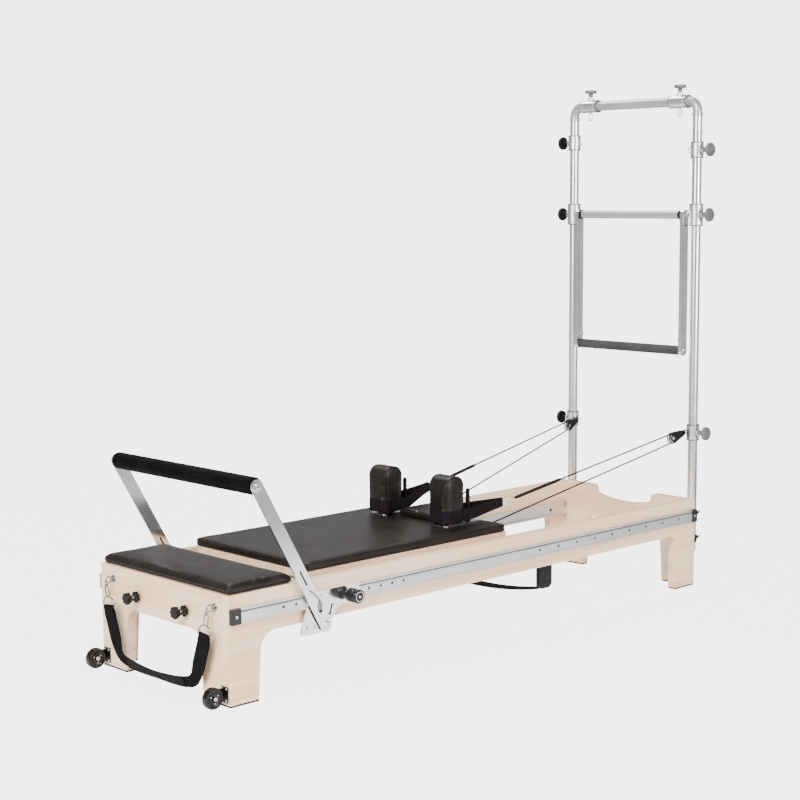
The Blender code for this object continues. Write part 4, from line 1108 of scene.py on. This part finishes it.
def slider_plate(name, side):
    """The plate that slides on the outer rail, dark behind its slots, with the lips that hold it there."""
    ys = across(PLATE_Y, PLATE_FACE, side)
    reach = across(OUTER_Y, PLATE_Y + 0.02, side)
    holes = [rod("y", (x, 0, z), radius, *reach, 20) for x, z, radius in PLATE_HOLES]
    slots = [prism(slot_outline(a, b, half), "y", *reach) for a, b, half in PLATE_SLOTS]
    cuts = holes[:1] + slots + holes[1:]
    plate = prism(slider_outline(), "y", *ys)
    piece(f"slider_plate_{name}", "chrome_plate", "footbar_carrier", [plate], [f"footbar_slider_{name}"],
        0.0007, cuts, 30)
    back = across(PLATE_Y - 0.0007, PLATE_Y + 0.001, side)
    shades = [box((x0, back[0], z0), (x1, back[1], z1)) for x0, x1, z0,
        z1 in ((0.2945, 0.3085, 0.1975, 0.2155), (0.3275, 0.34, 0.1955, 0.213),
        (0.3905, 0.416, 0.232, 0.267))]
    piece(f"slider_shade_{name}", "black_plastic", "footbar_carrier", shades)
    lip = across(OUTER_Y + 2 * GAP, PLATE_Y + 0.0002, side)
    lips = [box((0.35, lip[0], RAIL_HIGH + 0.0005), (0.522, lip[1], 0.32)),
        box((0.45, lip[0], 0.2635), (0.522, lip[1], RAIL_LOW - 0.0005))]
    piece(f"slider_lips_{name}", "chrome_plate", "footbar_carrier", lips)


def footbar_pivot(name, side):
    """The arm's bush and bolt, and the pin that stops it."""
    bush = pin(*PIVOT, 0.0138, PLATE_FACE - 0.0004, ARM_Y - 0.0002, side, 40, 0.0008)
    piece(f"pivot_bush_{name}", "steel", "footbar_carrier", [bush])
    pivot = [(0.007, -BUSH - ARM), (0.007, 0.0006), (0.0125, 0.0006), (0.013, 0.002), (0.0122, 0.0038)]
    pivot += [(0.008, 0.005), (0.0042, 0.005), (0.004, 0.0028), (0.0003, 0.0027)]
    pivot = facing(pivot, "y", (PIVOT[0], 0, PIVOT[1]), side, 36, ARM_FACE)
    piece(f"pivot_bolt_{name}", "chrome", "footbar_carrier", [pivot], sharp=30)
    stop = pin(0.348, 0.258, 0.0055, PLATE_FACE - 0.0004, ARM_Y + 0.0002, side)
    piece(f"stop_pin_{name}", "dark_steel", "footbar_carrier", [stop])


def plunger(name, side):
    """A spring plunger: a grooved knob with a chrome ring and dot, its pin and its washer."""
    base = (PLUNGER_X, side * (PLATE_FACE + GAP), RAIL_Z)
    turned = [(0.0148, 0.001), (0.0152, 0.0018), (0.0152, 0.0116), (0.0165, 0.0124), (0.0212, 0.0146),
        (0.0228, 0.017)]
    turned.append((0.0231, 0.02))
    for start in (0.023, 0.0288, 0.0346):
        turned += [(0.0231, start), (0.0219, start + 0.0009), (0.0219, start + 0.0021),
            (0.0231, start + 0.003)]
    turned += [(0.0231, 0.042), (0.0222, 0.044), (0.02, 0.0452), (0.02, 0.049), (0.0222, 0.0502),
        (0.0231, 0.0525)]
    turned += [(0.0231, 0.0605), (0.0224, 0.0632), (0.0205, 0.0652), (0.0178, 0.0658), (0.0172, 0.064),
        (0.015, 0.0636)]
    turned += [(0.0144, 0.0652), (0.002, 0.0656)]
    knob = facing(turned, "y", base, side, 48)
    piece(f"plunger_knob_{name}", "gloss_black", f"plunger_{name}", [knob], [f"plunger_{name}"], sharp=30)
    ring = [(0.0152, 0.0642), (0.0171, 0.0645), (0.0171, 0.0655), (0.0152, 0.0655)]
    ring = facing(ring, "y", base, side, ring=True)
    dot = facing([(0.0042, 0.064), (0.0042, 0.0666), (0.003, 0.0672), (0.0004, 0.0673)], "y", base, side,
        24)
    piece(f"plunger_ring_{name}", "chrome", f"plunger_{name}", [ring, dot])
    tip = pin(PLUNGER_X, RAIL_Z, 0.0034, PLATE_Y + 0.0005, PLATE_FACE + 0.006, side, 20)
    piece(f"plunger_pin_{name}", "steel", f"plunger_{name}", [tip])
    washer = pin(PLUNGER_X, RAIL_Z, 0.0125, PLATE_FACE, PLATE_FACE + 0.0012, side, 36, 0.0003)
    bore = rod("y", (PLUNGER_X, 0, RAIL_Z), 0.0047, -0.5, 0.5, 20)
    piece(f"plunger_washer_{name}", "chrome", "footbar_carrier", [washer], cuts=[bore])


def footbar_arm(name, side):
    """A flat arm with its slot, and the cap over the roll's end."""
    ys = across(ARM_Y, ARM_FACE, side)
    low, high = along(PIVOT, ROLL_AT, 0.168), along(PIVOT, ROLL_AT, 0.222)
    cuts = [rod("y", (PIVOT[0], 0, PIVOT[1]), 0.0076, -0.5, 0.5, 24),
        prism(slot_outline(low, high, 0.0032), "y", -0.5, 0.5)]
    arm = prism(slot_outline(PIVOT, ROLL_AT, 0.0225, 20), "y", *ys)
    piece(f"footbar_arm_{name}", "chrome_plate", "footbar", [arm], ["footbar_frame"] if side < 0 else (),
        0.0011, cuts, 30)
    shade = prism(slot_outline(low, high, 0.004), "y", *across(ARM_Y + 0.0004, ARM_Y + 0.0012, side))
    piece(f"footbar_slot_shade_{name}", "black_plastic", "footbar", [shade])
    cap = [(0.018, 0.0), (0.018, 0.0022), (0.0168, 0.0034), (0.0142, 0.0036), (0.0138, 0.0028),
        (0.0112, 0.0028)]
    cap += [(0.0108, 0.004), (0.007, 0.0046), (0.005, 0.0046), (0.0048, 0.0026), (0.0003, 0.0025)]
    cap = facing(cap, "y", (ROLL_AT[0], 0, ROLL_AT[1]), side, face=ARM_FACE - 0.0002)
    piece(f"roll_cap_{name}", "chrome", "footbar", [cap], sharp=30)


def prop_link(name, side):
    """A bent wire from the arm's slot towards the slider plate's pin, with its end plate and bolt."""
    y = side * (ARM_FACE + 0.0032)
    run = ((0.3045, 0.332), (0.32, 0.319), (0.34, 0.3), (0.3465, 0.286), (0.3475, 0.264))
    wire = smooth_path([(0.3045, y - side * 0.005, 0.333)] + [(x, y, z) for x, z in run])
    piece(f"prop_wire_{name}", "wire", "footbar", [tube(wire, 0.0022, 10)])
    plate = prism(slot_outline((0.347, 0.282), (0.348, 0.258), 0.0078), "y",
        *across(ARM_FACE + 0.0008, ARM_FACE + 0.0026, side))
    piece(f"prop_plate_{name}", "wire", "footbar", [plate], bevel=0.0004)
    head = bolt("y", (0.348, side * (ARM_FACE + 0.0024), 0.258), 0.0056, 0.0034, side)
    piece(f"prop_bolt_{name}", "dark_steel", "footbar", [head])


for name, side in SIDES.items():
    slider_plate(name, side)
    footbar_pivot(name, side)
    plunger(name, side)
for name, side in SIDES.items():
    footbar_arm(name, side)
    prop_link(name, side)
core = rod("y", (ROLL_AT[0], 0, ROLL_AT[1]), 0.0158, -ARM_Y, ARM_Y, 40)
piece("footbar_tube", "chrome", "footbar", [core])
half, thick = 0.3748, 0.0284
rim_steps = [(thick - 0.0047, 0.0), (thick - 0.002, 0.0008), (thick - 0.0005, 0.003), (thick, 0.007)]
foam = [(0.0163, -half), (0.0163, half)] + [(r, half - a) for r, a in rim_steps]
foam += [(thick + 0.0002 * math.sin(i * 1.7), half - 0.01 - (2 * half - 0.02) * i / 40) for i in range(41)]
foam += [(r, a - half) for r, a in rim_steps[::-1]]
piece("footbar_foam", "foam", "footbar", [lathe(foam, "y", (ROLL_AT[0], 0, ROLL_AT[1]), 56, ring=True)],
    ["footbar_grip"], sharp=50)


# ---------------------------------------------------------------- tower

POST_X, POST_Y, TUBE_R = LENGTH + 0.021, 0.3217, 0.019
POST_Z, BAR_Z, ELBOW = (0.14, 1.908), 1.965, 0.042
LOW_Z, MID_Z = 0.628, 1.512
UPPER_Z = {"right": 1.771, "left": 1.815}
TOP_COLLAR_Y = 0.2335
SWING = (POST_X - 0.018, MID_Z)
GRIP_Z, PUSH_Y = 0.961, 0.268
FREE = 0.0006


# A collar's height and radius: on the posts, on the top bar and on the push-through bar
POST_COLLAR, TOP_COLLAR, CARRIER_COLLAR = (0.063, 0.026), (0.088, 0.026), (0.088, 0.028)


def collar_shells(centre, tall, radius, side, axis="z"):
    """A machined collar with grooves near its ends, and the boss of its clamping screw."""
    half = tall / 2
    profile = [(TUBE_R + FREE, -half), (TUBE_R + FREE, half), (radius - 0.0012, half),
        (radius, half - 0.0012), (radius, half - 0.0085), (radius - 0.001, half - 0.009),
        (radius - 0.001, half - 0.0105), (radius, half - 0.011)]
    profile += [(r, -a) for r, a in profile[:1:-1]]
    shells = [lathe(profile, axis, centre, 48, ring=True)]
    boss = [(0.0058, 0.0215), (0.0058, 0.034), (0.0112, 0.034), (0.012, 0.0332), (0.012, 0.0215)]
    if axis == "z":
        shells.append(facing(boss, "y", centre, side, 32, ring=True))
    else:
        shells.append(lathe(boss, "z", centre, 32, ring=True))
    return shells


def collar_rims(name, body, centre, tall, radius, axis="z"):
    """The dark plastic bushes at a collar's two ends."""
    half, out = tall / 2, radius + 0.0005
    shells = []
    for sign in (-1, 1):
        profile = [(TUBE_R + FREE, half - 0.004), (TUBE_R + FREE, half + 0.0006),
            (out - 0.0008, half + 0.0006), (out, half), (out, half - 0.004)]
        shells.append(lathe([(r, sign * a) for r, a in profile], axis, centre, 48, ring=True))
    piece(name, "grey_plastic", body, shells, sharp=30)


def inboard_eye(centre, side, plane):
    x, y, z = centre
    stem = facing([(0.0046, 0.025), (0.005, 0.0262), (0.0038, 0.0268)], "y", centre, -side, 20)
    return [eye(plane, (x, y - side * 0.0337, z), 0.01, 0.0021), stem]


def disc_knob(level, name, look, centre, axis, sign):
    """A disc knob with a ribbed rim, a raised centre and its screw. The top ones are smaller."""
    flat, wide = (0.91, 0.9) if axis == "z" else (1.0, 1.0)
    body = f"{level}_knob_{name}"
    hub = [(0.0078, 0.0408), (0.0086, 0.0412), (0.0092, 0.0545), (0.012, 0.0572)]
    disc = [(0.0255, 0.0582), (0.0272, 0.06), (0.0275, 0.0625), (0.0275, 0.0675), (0.027, 0.0698),
        (0.025, 0.0716), (0.02, 0.0722)]
    face = [(0.0192, 0.0712), (0.011, 0.0712), (0.0104, 0.0724), (0.005, 0.0726), (0.0003, 0.0726)]
    profile = hub + [(r * wide, a) for r, a in disc] + face
    profile = [(r, 0.0205 + (a - 0.0205) * flat) for r, a in profile]
    turned = [(r, sign * a) for r, a in profile]
    count = 72
    verts, faces = lathe(turned, axis, centre, count)
    for row, (r, _) in enumerate(turned):
        if r > 0.0265 * wide:
            for k in range(row * count, (row + 1) * count, 3):
                spot = Vector(verts[k])
                out = spot - Vector(centre)
                out["xyz".index(axis)] = 0
                verts[k] = tuple(spot - out.normalized() * 0.0007)
    piece(f"{level}_disc_{name}", look, body, [(verts, faces)], [body], sharp=32)
    first, last = 0.0205, 0.0205 + (0.041 - 0.0205) * flat
    thread = [(0.0049 - 0.0005 * (i % 2), sign * (first + (last - first) * i / 24)) for i in range(25)]
    piece(f"{level}_disc_{name}_screw", "steel", body, [lathe(thread, axis, centre, 20)], sharp=70)


def tower_post(name, side):
    """A post with its plug and its two clamps, each a saddle, a strap and a wing knob."""
    y = side * POST_Y
    post = [(TUBE_R - 0.0006, POST_Z[0]), (TUBE_R, POST_Z[0] + 0.0006), (TUBE_R, 0.6), (TUBE_R, 1.2),
        (TUBE_R, POST_Z[1])]
    post = lathe(post, "z", (POST_X, y, 0), 56)
    plug = rod("z", (POST_X, y, 0), TUBE_R - 0.0012, POST_Z[0] - 0.0025, POST_Z[0] + 0.002, 40, 0.0008)
    piece(f"tower_post_{name}", "chrome_post", "frame", [post], [f"post_{name}"])
    piece(f"post_plug_{name}", "black_plastic", "frame", [plug])
    for k, z in enumerate((0.29, 0.188)):
        saddle = box((LENGTH + GAP, y - 0.024, z - 0.015), (LENGTH + 0.012, y + 0.024, z + 0.015))
        outer = arc((POST_X, y), TUBE_R + 0.0036, -115, 115, 24)
        strap = outer + arc((POST_X, y), TUBE_R + 0.0006, 115, -115, 24)
        piece(f"post_clamp_{k}_{name}", "dark_steel", "frame",
            [saddle, prism(strap, "z", z - 0.014, z + 0.014)], bevel=0.0008)
        hub_x = POST_X + TUBE_R + 0.003
        stud = [(0.0045, 0), (0.0045, 0.004), (0.0095, 0.0045), (0.01, 0.006), (0.009, 0.0125),
            (0.004, 0.0135)]
        stud = lathe(stud, "x", (hub_x, y, z), 28)
        wing = [(-0.021, 0.008), (-0.018, 0.011), (-0.006, 0.004), (0.006, 0.004)]
        wing += [(0.018, 0.011), (0.021, 0.008), (0.008, -0.006), (-0.008, -0.006)]
        wing = prism([(y + u, z + v) for u, v in wing], "x", hub_x + 0.005, hub_x + 0.0095)
        piece(f"wing_nut_{k}_{name}", "black_plastic", "frame", [stud, wing], bevel=0.0012)


def collars(name, side):
    """The collars on one post and on its half of the top bar, with their eyes and knobs."""
    y = side * POST_Y
    knob_look = "grey_plastic" if side < 0 else "black_plastic"
    for level, z in (("upper", UPPER_Z[name]), ("lower", LOW_Z)):
        centre = (POST_X, y, z)
        body = f"upper_collar_{name}" if level == "upper" else "frame"
        plane = "x" if level == "upper" else "z"
        shells = collar_shells(centre, *POST_COLLAR, side) + inboard_eye(centre, side, plane)
        collar_rims(f"{level}_rims_{name}", body, centre, *POST_COLLAR)
        piece(f"{level}_ring_{name}", "collar", body, shells, [f"{level}_collar_{name}"], sharp=30)
        disc_knob(level, name, knob_look, centre, "y", side)
    disc_knob("carrier", name, knob_look, (POST_X, y, MID_Z), "y", side)
    centre = (POST_X, side * TOP_COLLAR_Y, BAR_Z)
    shells = collar_shells(centre, *TOP_COLLAR, side, "y")
    shells.append(eye("x", (POST_X, centre[1], BAR_Z - 0.0425), 0.0085, 0.0021, tall=0.014))
    collar_rims(f"top_rims_{name}", f"top_collar_{name}", centre, *TOP_COLLAR, "y")
    piece(f"top_ring_{name}", "collar", f"top_collar_{name}", shells, [f"top_collar_{name}"], sharp=30)
    disc_knob("top", name, "grey_plastic", centre, "z", 1)


for name, side in SIDES.items():
    tower_post(name, side)
    collars(name, side)
bend = [(POST_X, POST_Y, POST_Z[1] + GAP)]
bend += [(POST_X, u, v) for u, v in arc((POST_Y - ELBOW, BAR_Z - ELBOW), ELBOW, 0, 90, 18)]
route = bend + [(x, -y, z) for x, y, z in bend[::-1]]
piece("tower_bar", "grey_tube", "frame", [tube(route, TUBE_R, 48)[:2]], ["top_bar"])
for name, side in SIDES.items():
    collar = [(0.0001, 1.9086), (0.0001, 1.918), (0.002, 1.918), (0.0026, 1.9172), (0.0026, 1.9094),
        (0.002, 1.9086)]
    collar = bored([(TUBE_R + r, z) for r, z in collar], "z", (POST_X, side * POST_Y, 0))
    piece(f"elbow_ring_{name}", "grey_tube", "frame", [collar])
    ys = (side * (POST_Y - ELBOW - 0.0005), side * (POST_Y - ELBOW - 0.01))
    joint = [(0.0001, ys[0]), (0.0001, ys[1]), (0.002, ys[1]), (0.0026, ys[1] * 1.003),
        (0.0026, ys[0] * 0.997)]
    joint = bored([(TUBE_R + r, y) for r, y in joint + [(0.002, ys[0])]], "y", (POST_X, 0, BAR_Z))
    piece(f"elbow_band_{name}", "grey_tube", "frame", [joint])

shaft = rod("y", (SWING[0], 0, SWING[1]), 0.0094, -0.3, 0.3, 32)
piece("push_shaft", "steel", "push_bar_carrier", [shaft])
for name, side in SIDES.items():
    centre = (POST_X, side * POST_Y, MID_Z)
    shells = collar_shells(centre, *CARRIER_COLLAR, side)
    collar_rims(f"carrier_rims_{name}", "push_bar_carrier", centre, *CARRIER_COLLAR)
    piece(f"carrier_ring_{name}", "collar", "push_bar_carrier", shells, ["push_bar_carrier"] if side < 0
        else (), sharp=30)
push_x = SWING[0]
sleeve = [(0.0102, -PUSH_Y + 0.001), (0.0102, PUSH_Y - 0.001), (0.016, PUSH_Y - 0.001),
    (0.0165, PUSH_Y - 0.003), (0.0165, -PUSH_Y + 0.003), (0.016, -PUSH_Y + 0.001)]
for name, side in SIDES.items():
    bush = [(0.0166, 0.0), (0.0166, 0.011), (0.0188, 0.011), (0.0192, 0.0104), (0.0192, 0.0006),
        (0.0188, 0.0)]
    bush = facing(bush, "y", (push_x, 0, MID_Z), side, 36, PUSH_Y - 0.013, ring=True)
    piece(f"push_bush_{name}", "black_plastic", "push_bar", [bush], sharp=30)
piece("push_sleeve", "grey_tube", "push_bar", [lathe(sleeve, "y", (push_x, 0, MID_Z), 40, ring=True)],
    ["push_bar_frame"])
for name, side in SIDES.items():
    plate = rounded((push_x - 0.018, GRIP_Z - 0.02), (push_x + 0.018, MID_Z + 0.02), 0.0175, 10)
    ys = across(PUSH_Y, PUSH_Y + 0.016, side)
    bore = [rod("y", (push_x, 0, MID_Z), 0.0104, -0.3, 0.3, 32)]
    ends = (push_x, GRIP_Z + 0.055), (push_x, MID_Z - 0.055)
    flute = [prism(slot_outline(*ends, 0.0095), "y", *across(PUSH_Y + low, PUSH_Y + high, side))
             for low, high in ((-0.002, 0.0025), (0.0135, 0.018))]
    piece(f"push_arm_{name}", "chrome_plate", "push_bar", [prism(plate, "y", *ys)], (), 0.0012,
        bore + flute, 30)
    for place, low in (("inlay", 0.013), ("inner_inlay", 0.0018)):
        inlay = prism(slot_outline(*ends, 0.0092), "y", *across(PUSH_Y + low, PUSH_Y + low + 0.0012, side))
        piece(f"push_{place}_{name}", "grey_tube", "push_bar", [inlay])
    ring_y = side * (PUSH_Y - 0.0095)
    small = [eye("x", (push_x, ring_y, 1.003), 0.0072, 0.0018)]
    small.append(pin(push_x, 1.003, 0.0034, PUSH_Y - 0.003, PUSH_Y + 0.001, side, 16))
    piece(f"push_eye_{name}", "chrome", "push_bar", small)
    cap = [(0.0105, 0.0), (0.0105, 0.0018), (0.009, 0.003), (0.004, 0.0032), (0.0003, 0.0032)]
    cap = facing(cap, "y", (push_x, 0, GRIP_Z), side, 28, PUSH_Y + 0.0158)
    piece(f"push_cap_{name}", "chrome", "push_bar", [cap])
low_tube = rod("y", (push_x, 0, GRIP_Z), 0.0119, -PUSH_Y - 0.001, PUSH_Y + 0.001, 32)
piece("push_tube", "chrome", "push_bar", [low_tube])
half = 0.264
foam = [(0.0124, -half), (0.0124, half), (0.0165, half), (0.018, half - 0.0012), (0.0187, half - 0.004)]
foam += [(0.0187 + 0.00015 * math.sin(i * 1.7), half - 0.008 - (2 * half - 0.016) * i / 30)
    for i in range(31)]
foam += [(0.0187, -half + 0.004), (0.018, -half + 0.0012), (0.0165, -half)]
piece("push_foam", "grey_foam", "push_bar", [lathe(foam, "y", (push_x, 0, GRIP_Z), 48, ring=True)],
    ["push_bar_grip"], sharp=50)


# ---------------------------------------------------------------- pulleys and ropes

EYE = (POST_X - 0.01, 0.288, LOW_Z)
REACH, DROP = 0.072, 0.0205
SHEAVE_R, GROOVE_R, ROPE_R, SLEEVE_R = 0.018, 0.015, 0.003, 0.0064
PLAN = {name: (EYE[0] - end[0], EYE[1] - end[1]) for name, end in STRAP_END.items()}
HOOK_REACH = 0.062
CLEAT_X = CARRIAGE[1] + GAP


def rope_plane(name, side):
    run, spread = PLAN[name]
    towards = Vector((-run, -side * spread, 0)).normalized()
    up = Vector((0, 0, 1))
    turned = Matrix((towards, up.cross(towards), up)).transposed().to_4x4()
    return Matrix.Translation((EYE[0], side * EYE[1], EYE[2])) @ turned


def rope_points(name):
    """The rope's route in its plane, as (towards the carriage, up) from the eye."""
    wrap = GROOVE_R + ROPE_R + GAP
    hub = Vector((REACH, -DROP))
    full = math.hypot(*PLAN[name])
    start = Vector((full - HOOK_REACH, STRAP_END[name][2] + 0.008 - EYE[2]))
    cleat = Vector(((EYE[0] - CLEAT_X - 0.0187) * full / PLAN[name][0], 0.3605 - EYE[2]))

    def touch(point, upper):
        away = point - hub
        spread = math.acos(wrap / away.length)
        heading = math.atan2(away.y, away.x)
        return heading + spread if upper else heading - spread

    first, last = touch(start, True), touch(cleat, False) + math.tau
    round_sheave = [Vector(p) for p in arc(hub, wrap, math.degrees(first), math.degrees(last), 14)]
    upper = [start.lerp(round_sheave[0], i / 12) for i in range(12)]
    lower = [round_sheave[-1].lerp(cleat, i / 12) for i in range(1, 13)]
    return upper + round_sheave + lower


def rope_blend(obj):
    """Bakes the piece's placement into its mesh."""
    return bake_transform(obj)


def rope(name, route):
    """The rope, and the stitched sleeve over its end."""
    fine = []
    for i, point in enumerate(route[:-1]):
        steps = 4 if (route[i + 1] - point).length > 0.02 else 2
        fine += [point.lerp(route[i + 1], k / steps) for k in range(steps)]
    fine.append(route[-1])
    cord = piece(f"rope_line_{name}", "rope", None, [tube(fine, ROPE_R, 12)], [f"rope_{name}"], sharp=60)
    rope_blend(cord)
    run = (route[12] - route[0]).normalized()
    sleeve_path = [route[0] + run * (0.004 + 0.0095 * i) for i in range(26)]
    taper = [0.75] + [1.0] * 22 + [0.95, 0.85, 0.62]
    cover = [tube(sleeve_path, SLEEVE_R, 16, taper=taper)]
    cover = piece(f"rope_sleeve_{name}", "sleeve", None, cover, sharp=60)
    rope_blend(cover)


def strap_hook(name, side, start):
    """The D-ring and the snap hook between the shoulder strap and the rope."""
    tip = Vector(STRAP_END[name]) * Vector((1, side, 1))
    heading = (start - tip).normalized()
    dee_at = tip + heading * 0.004
    up = Vector((0, 0, 1))
    dee = [dee_at + up * 0.0185 + heading * 0.001, dee_at - up * 0.0185 + heading * 0.001]
    dee += [dee_at + heading * (0.003 + 0.0165 * math.sin(a)) - up * 0.019 * math.cos(a)
        for a in shares(14, math.pi)]
    piece(f"strap_dee_{name}", "chrome", "carriage", [tube(dee, 0.0017, 10, closed=True)])
    hook = snap_hook(start + heading * 0.004, dee_at + heading * 0.014, 0.0015, (0, 0, 1))
    piece(f"rope_hook_{name}", "chrome", "carriage", hook)


def pulley(name, place):
    """Two cheeks with windows, the neck and tang between them, the axle and the sheave."""
    angle = math.degrees(math.atan2(-DROP, REACH))
    hub = (REACH, -DROP)
    outline = arc(hub, 0.0226, angle - 105, angle + 105, 20) + arc((0.016, -0.0046), 0.0108, angle + 100,
        angle + 260, 12)
    block = [prism(outline, "y", low, high) for low, high in ((-0.0085, -0.0048), (0.0048, 0.0085))]
    neck = arc((0.0385, -0.011), 0.0098, 0, 345, 23)
    block.append(prism(neck, "y", -0.006, 0.006))
    tang = arc((0.03, -0.0085), 0.0095, angle - 80, angle + 80, 10) + arc((0.0, 0.0), 0.0088, angle + 95,
        angle + 265, 12)
    block.append(prism(tang, "y", -0.0021, 0.0021))
    cuts = [rod("y", (0, 0, 0), 0.0055, -0.02, 0.02, 24),
        rod("y", (REACH, 0, -DROP), 0.0034, -0.02, 0.02, 20)]
    window = arc(hub, 0.0196, angle - 84, angle + 84, 18) + arc(hub, 0.0112, angle + 84, angle - 84, 18)
    cuts += [prism(window, "y", low, high) for low, high in ((-0.009, -0.0044), (0.0044, 0.009))]
    piece(f"pulley_body_{name}", "black_plastic", f"pulley_{name}", [moved(s, place) for s in block],
        [f"pulley_block_{name}"], 0.0007, [moved(c, place) for c in cuts], 30)
    cap = [(0.0068, 0.0083), (0.0068, 0.0096), (0.0056, 0.0104), (0.0004, 0.0105)]
    caps = [facing(cap, "y", (REACH, 0, -DROP), sign, 24) for sign in (-1, 1)]
    piece(f"pulley_axle_{name}", "steel", f"pulley_{name}", [moved(s, place) for s in caps])
    profile = [(0.0032, -0.0046), (0.007, -0.0046), (0.0075, -0.0036), (0.012, -0.0034), (0.0168, -0.004),
        (SHEAVE_R, -0.0036), (0.0176, -0.003)]
    profile += [(0.016, -0.0024), (GROOVE_R, -0.001), (GROOVE_R - 0.0003, 0.0)]
    profile += [(r, -a) for r, a in profile[-2::-1]]
    piece(f"pulley_sheave_{name}", "light_plastic", f"sheave_{name}",
        [moved(lathe(profile, "y", (REACH, 0, -DROP), 40), place)], [f"sheave_{name}"], sharp=35)


def cleat(name, end):
    """The clamp under the carriage that the rope ends in."""
    cx, cy, _ = end
    clamp = [box((CARRIAGE[1] - 0.03, cy - 0.015, 0.353), (cx + 0.002, cy + 0.015, 0.368))]
    piece(f"rope_cleat_{name}", "black_plastic", "carriage", clamp, bevel=0.0018)


for name, side in SIDES.items():
    place = rope_plane(name, side)
    route = [place @ Vector((p.x, 0, p.y)) for p in rope_points(name)]
    rope(name, route)
    strap_hook(name, side, route[0])
    pulley(name, place)
    cleat(name, route[-1])


# ---------------------------------------------------------------- stage and light


def studio():
    """A pale floor that curves up all round. In mirrors it is darker some metres out."""
    profile = [(0.01, 0.0), (6.0, 0.0), (9.0, 0.0)]
    profile += arc((9.0, 5.0), 5.0, 270, 360, 16)[1:]
    profile += [(14.0, 9.0)]
    sides = 96
    rings = [[(*p, z) for p in circle((0, 0), radius, sides)] for radius, z in profile]
    faces = walls(rings, len(rings) - 1) + [list(range(sides))[::-1]]
    mesh = bpy.data.meshes.new("studio_floor")
    mesh.from_pydata(flattened(rings), [], faces)
    mesh.shade_smooth()
    floor = bpy.data.objects.new("studio_floor", mesh)
    bpy.context.scene.collection.objects.link(floor)
    floor.location.z = -0.0002
    look = Nodes("studio_paper", (0.86, 0.86, 0.86), 0.95, Specular_IOR_Level=0.1)
    cloud = look.noise(look.place((1, 1, 1)), 0.7, 2)
    rays = look.add("ShaderNodeLightPath").outputs
    seen = rays["Is Camera Ray"]
    paper = look.ramp(cloud, [(0.3, (0.85, 0.85, 0.85)), (0.7, (0.87, 0.87, 0.87))])
    away = look.add("ShaderNodeVectorMath", {0: look.place((1, 1, 1))}, operation="LENGTH").outputs["Value"]
    dusk = look.ramp(look.math("MULTIPLY", away, 0.1),
        [(0.16, 0.0), (0.29, 0.92), (0.42, 0.8), (0.62, 0.3)])
    look.colour(look.mix(look.math("MULTIPLY", rays["Is Glossy Ray"], dusk), paper, (0.06, 0.06, 0.06)))
    glow = look.add("ShaderNodeEmission", {"Color": (1, 1, 1, 1), "Strength": 5.0}).outputs[0]
    lit = look.shader.outputs[0]
    blend = look.add("ShaderNodeMixShader",
        {0: look.math("MULTIPLY", seen, 0.88), 1: lit, 2: glow}).outputs[0]
    look.tree.links.new(blend, look.tree.nodes["Material Output"].inputs["Surface"])
    mesh.materials.append(look.material)


def softbox(name, at, aim, size, power):
    light = bpy.data.lights.new(name, "AREA")
    light.shape, light.size, light.energy = "SQUARE", size, power
    obj = bpy.data.objects.new(name, light)
    obj.location = at
    obj.visible_camera = False
    obj.rotation_mode = "QUATERNION"
    obj.rotation_quaternion = (Vector(aim) - Vector(at)).to_track_quat("-Z", "Y")
    bpy.context.scene.collection.objects.link(obj)


studio()
softbox("key", (-5.5, -2.5, 4.6), (0, 0, 0.4), 3.0, 950)
softbox("side", (0.6, -6.6, 2.1), (0.3, 0, 0.9), 3.4, 430)
softbox("strip", (-6.6, -0.3, 1.9), (0.6, 0, 1.2), 2.2, 170)
softbox("top", (1.0, 3.2, 7.5), (0, 0, 0.4), 4.0, 620)
world = bpy.data.worlds.new("studio_air")
world.use_nodes = True
air = world.node_tree
background = air.nodes["Background"]
background.inputs["Color"].default_value = (1.0, 1.0, 1.0, 1)
seen = air.nodes.new("ShaderNodeLightPath")
level = air.nodes.new("ShaderNodeMapRange")
level.inputs["To Min"].default_value, level.inputs["To Max"].default_value = 0.3, 5.0
air.links.new(seen.outputs["Is Camera Ray"], level.inputs["Value"])
air.links.new(level.outputs["Result"], background.inputs["Strength"])
bpy.context.scene.world = world
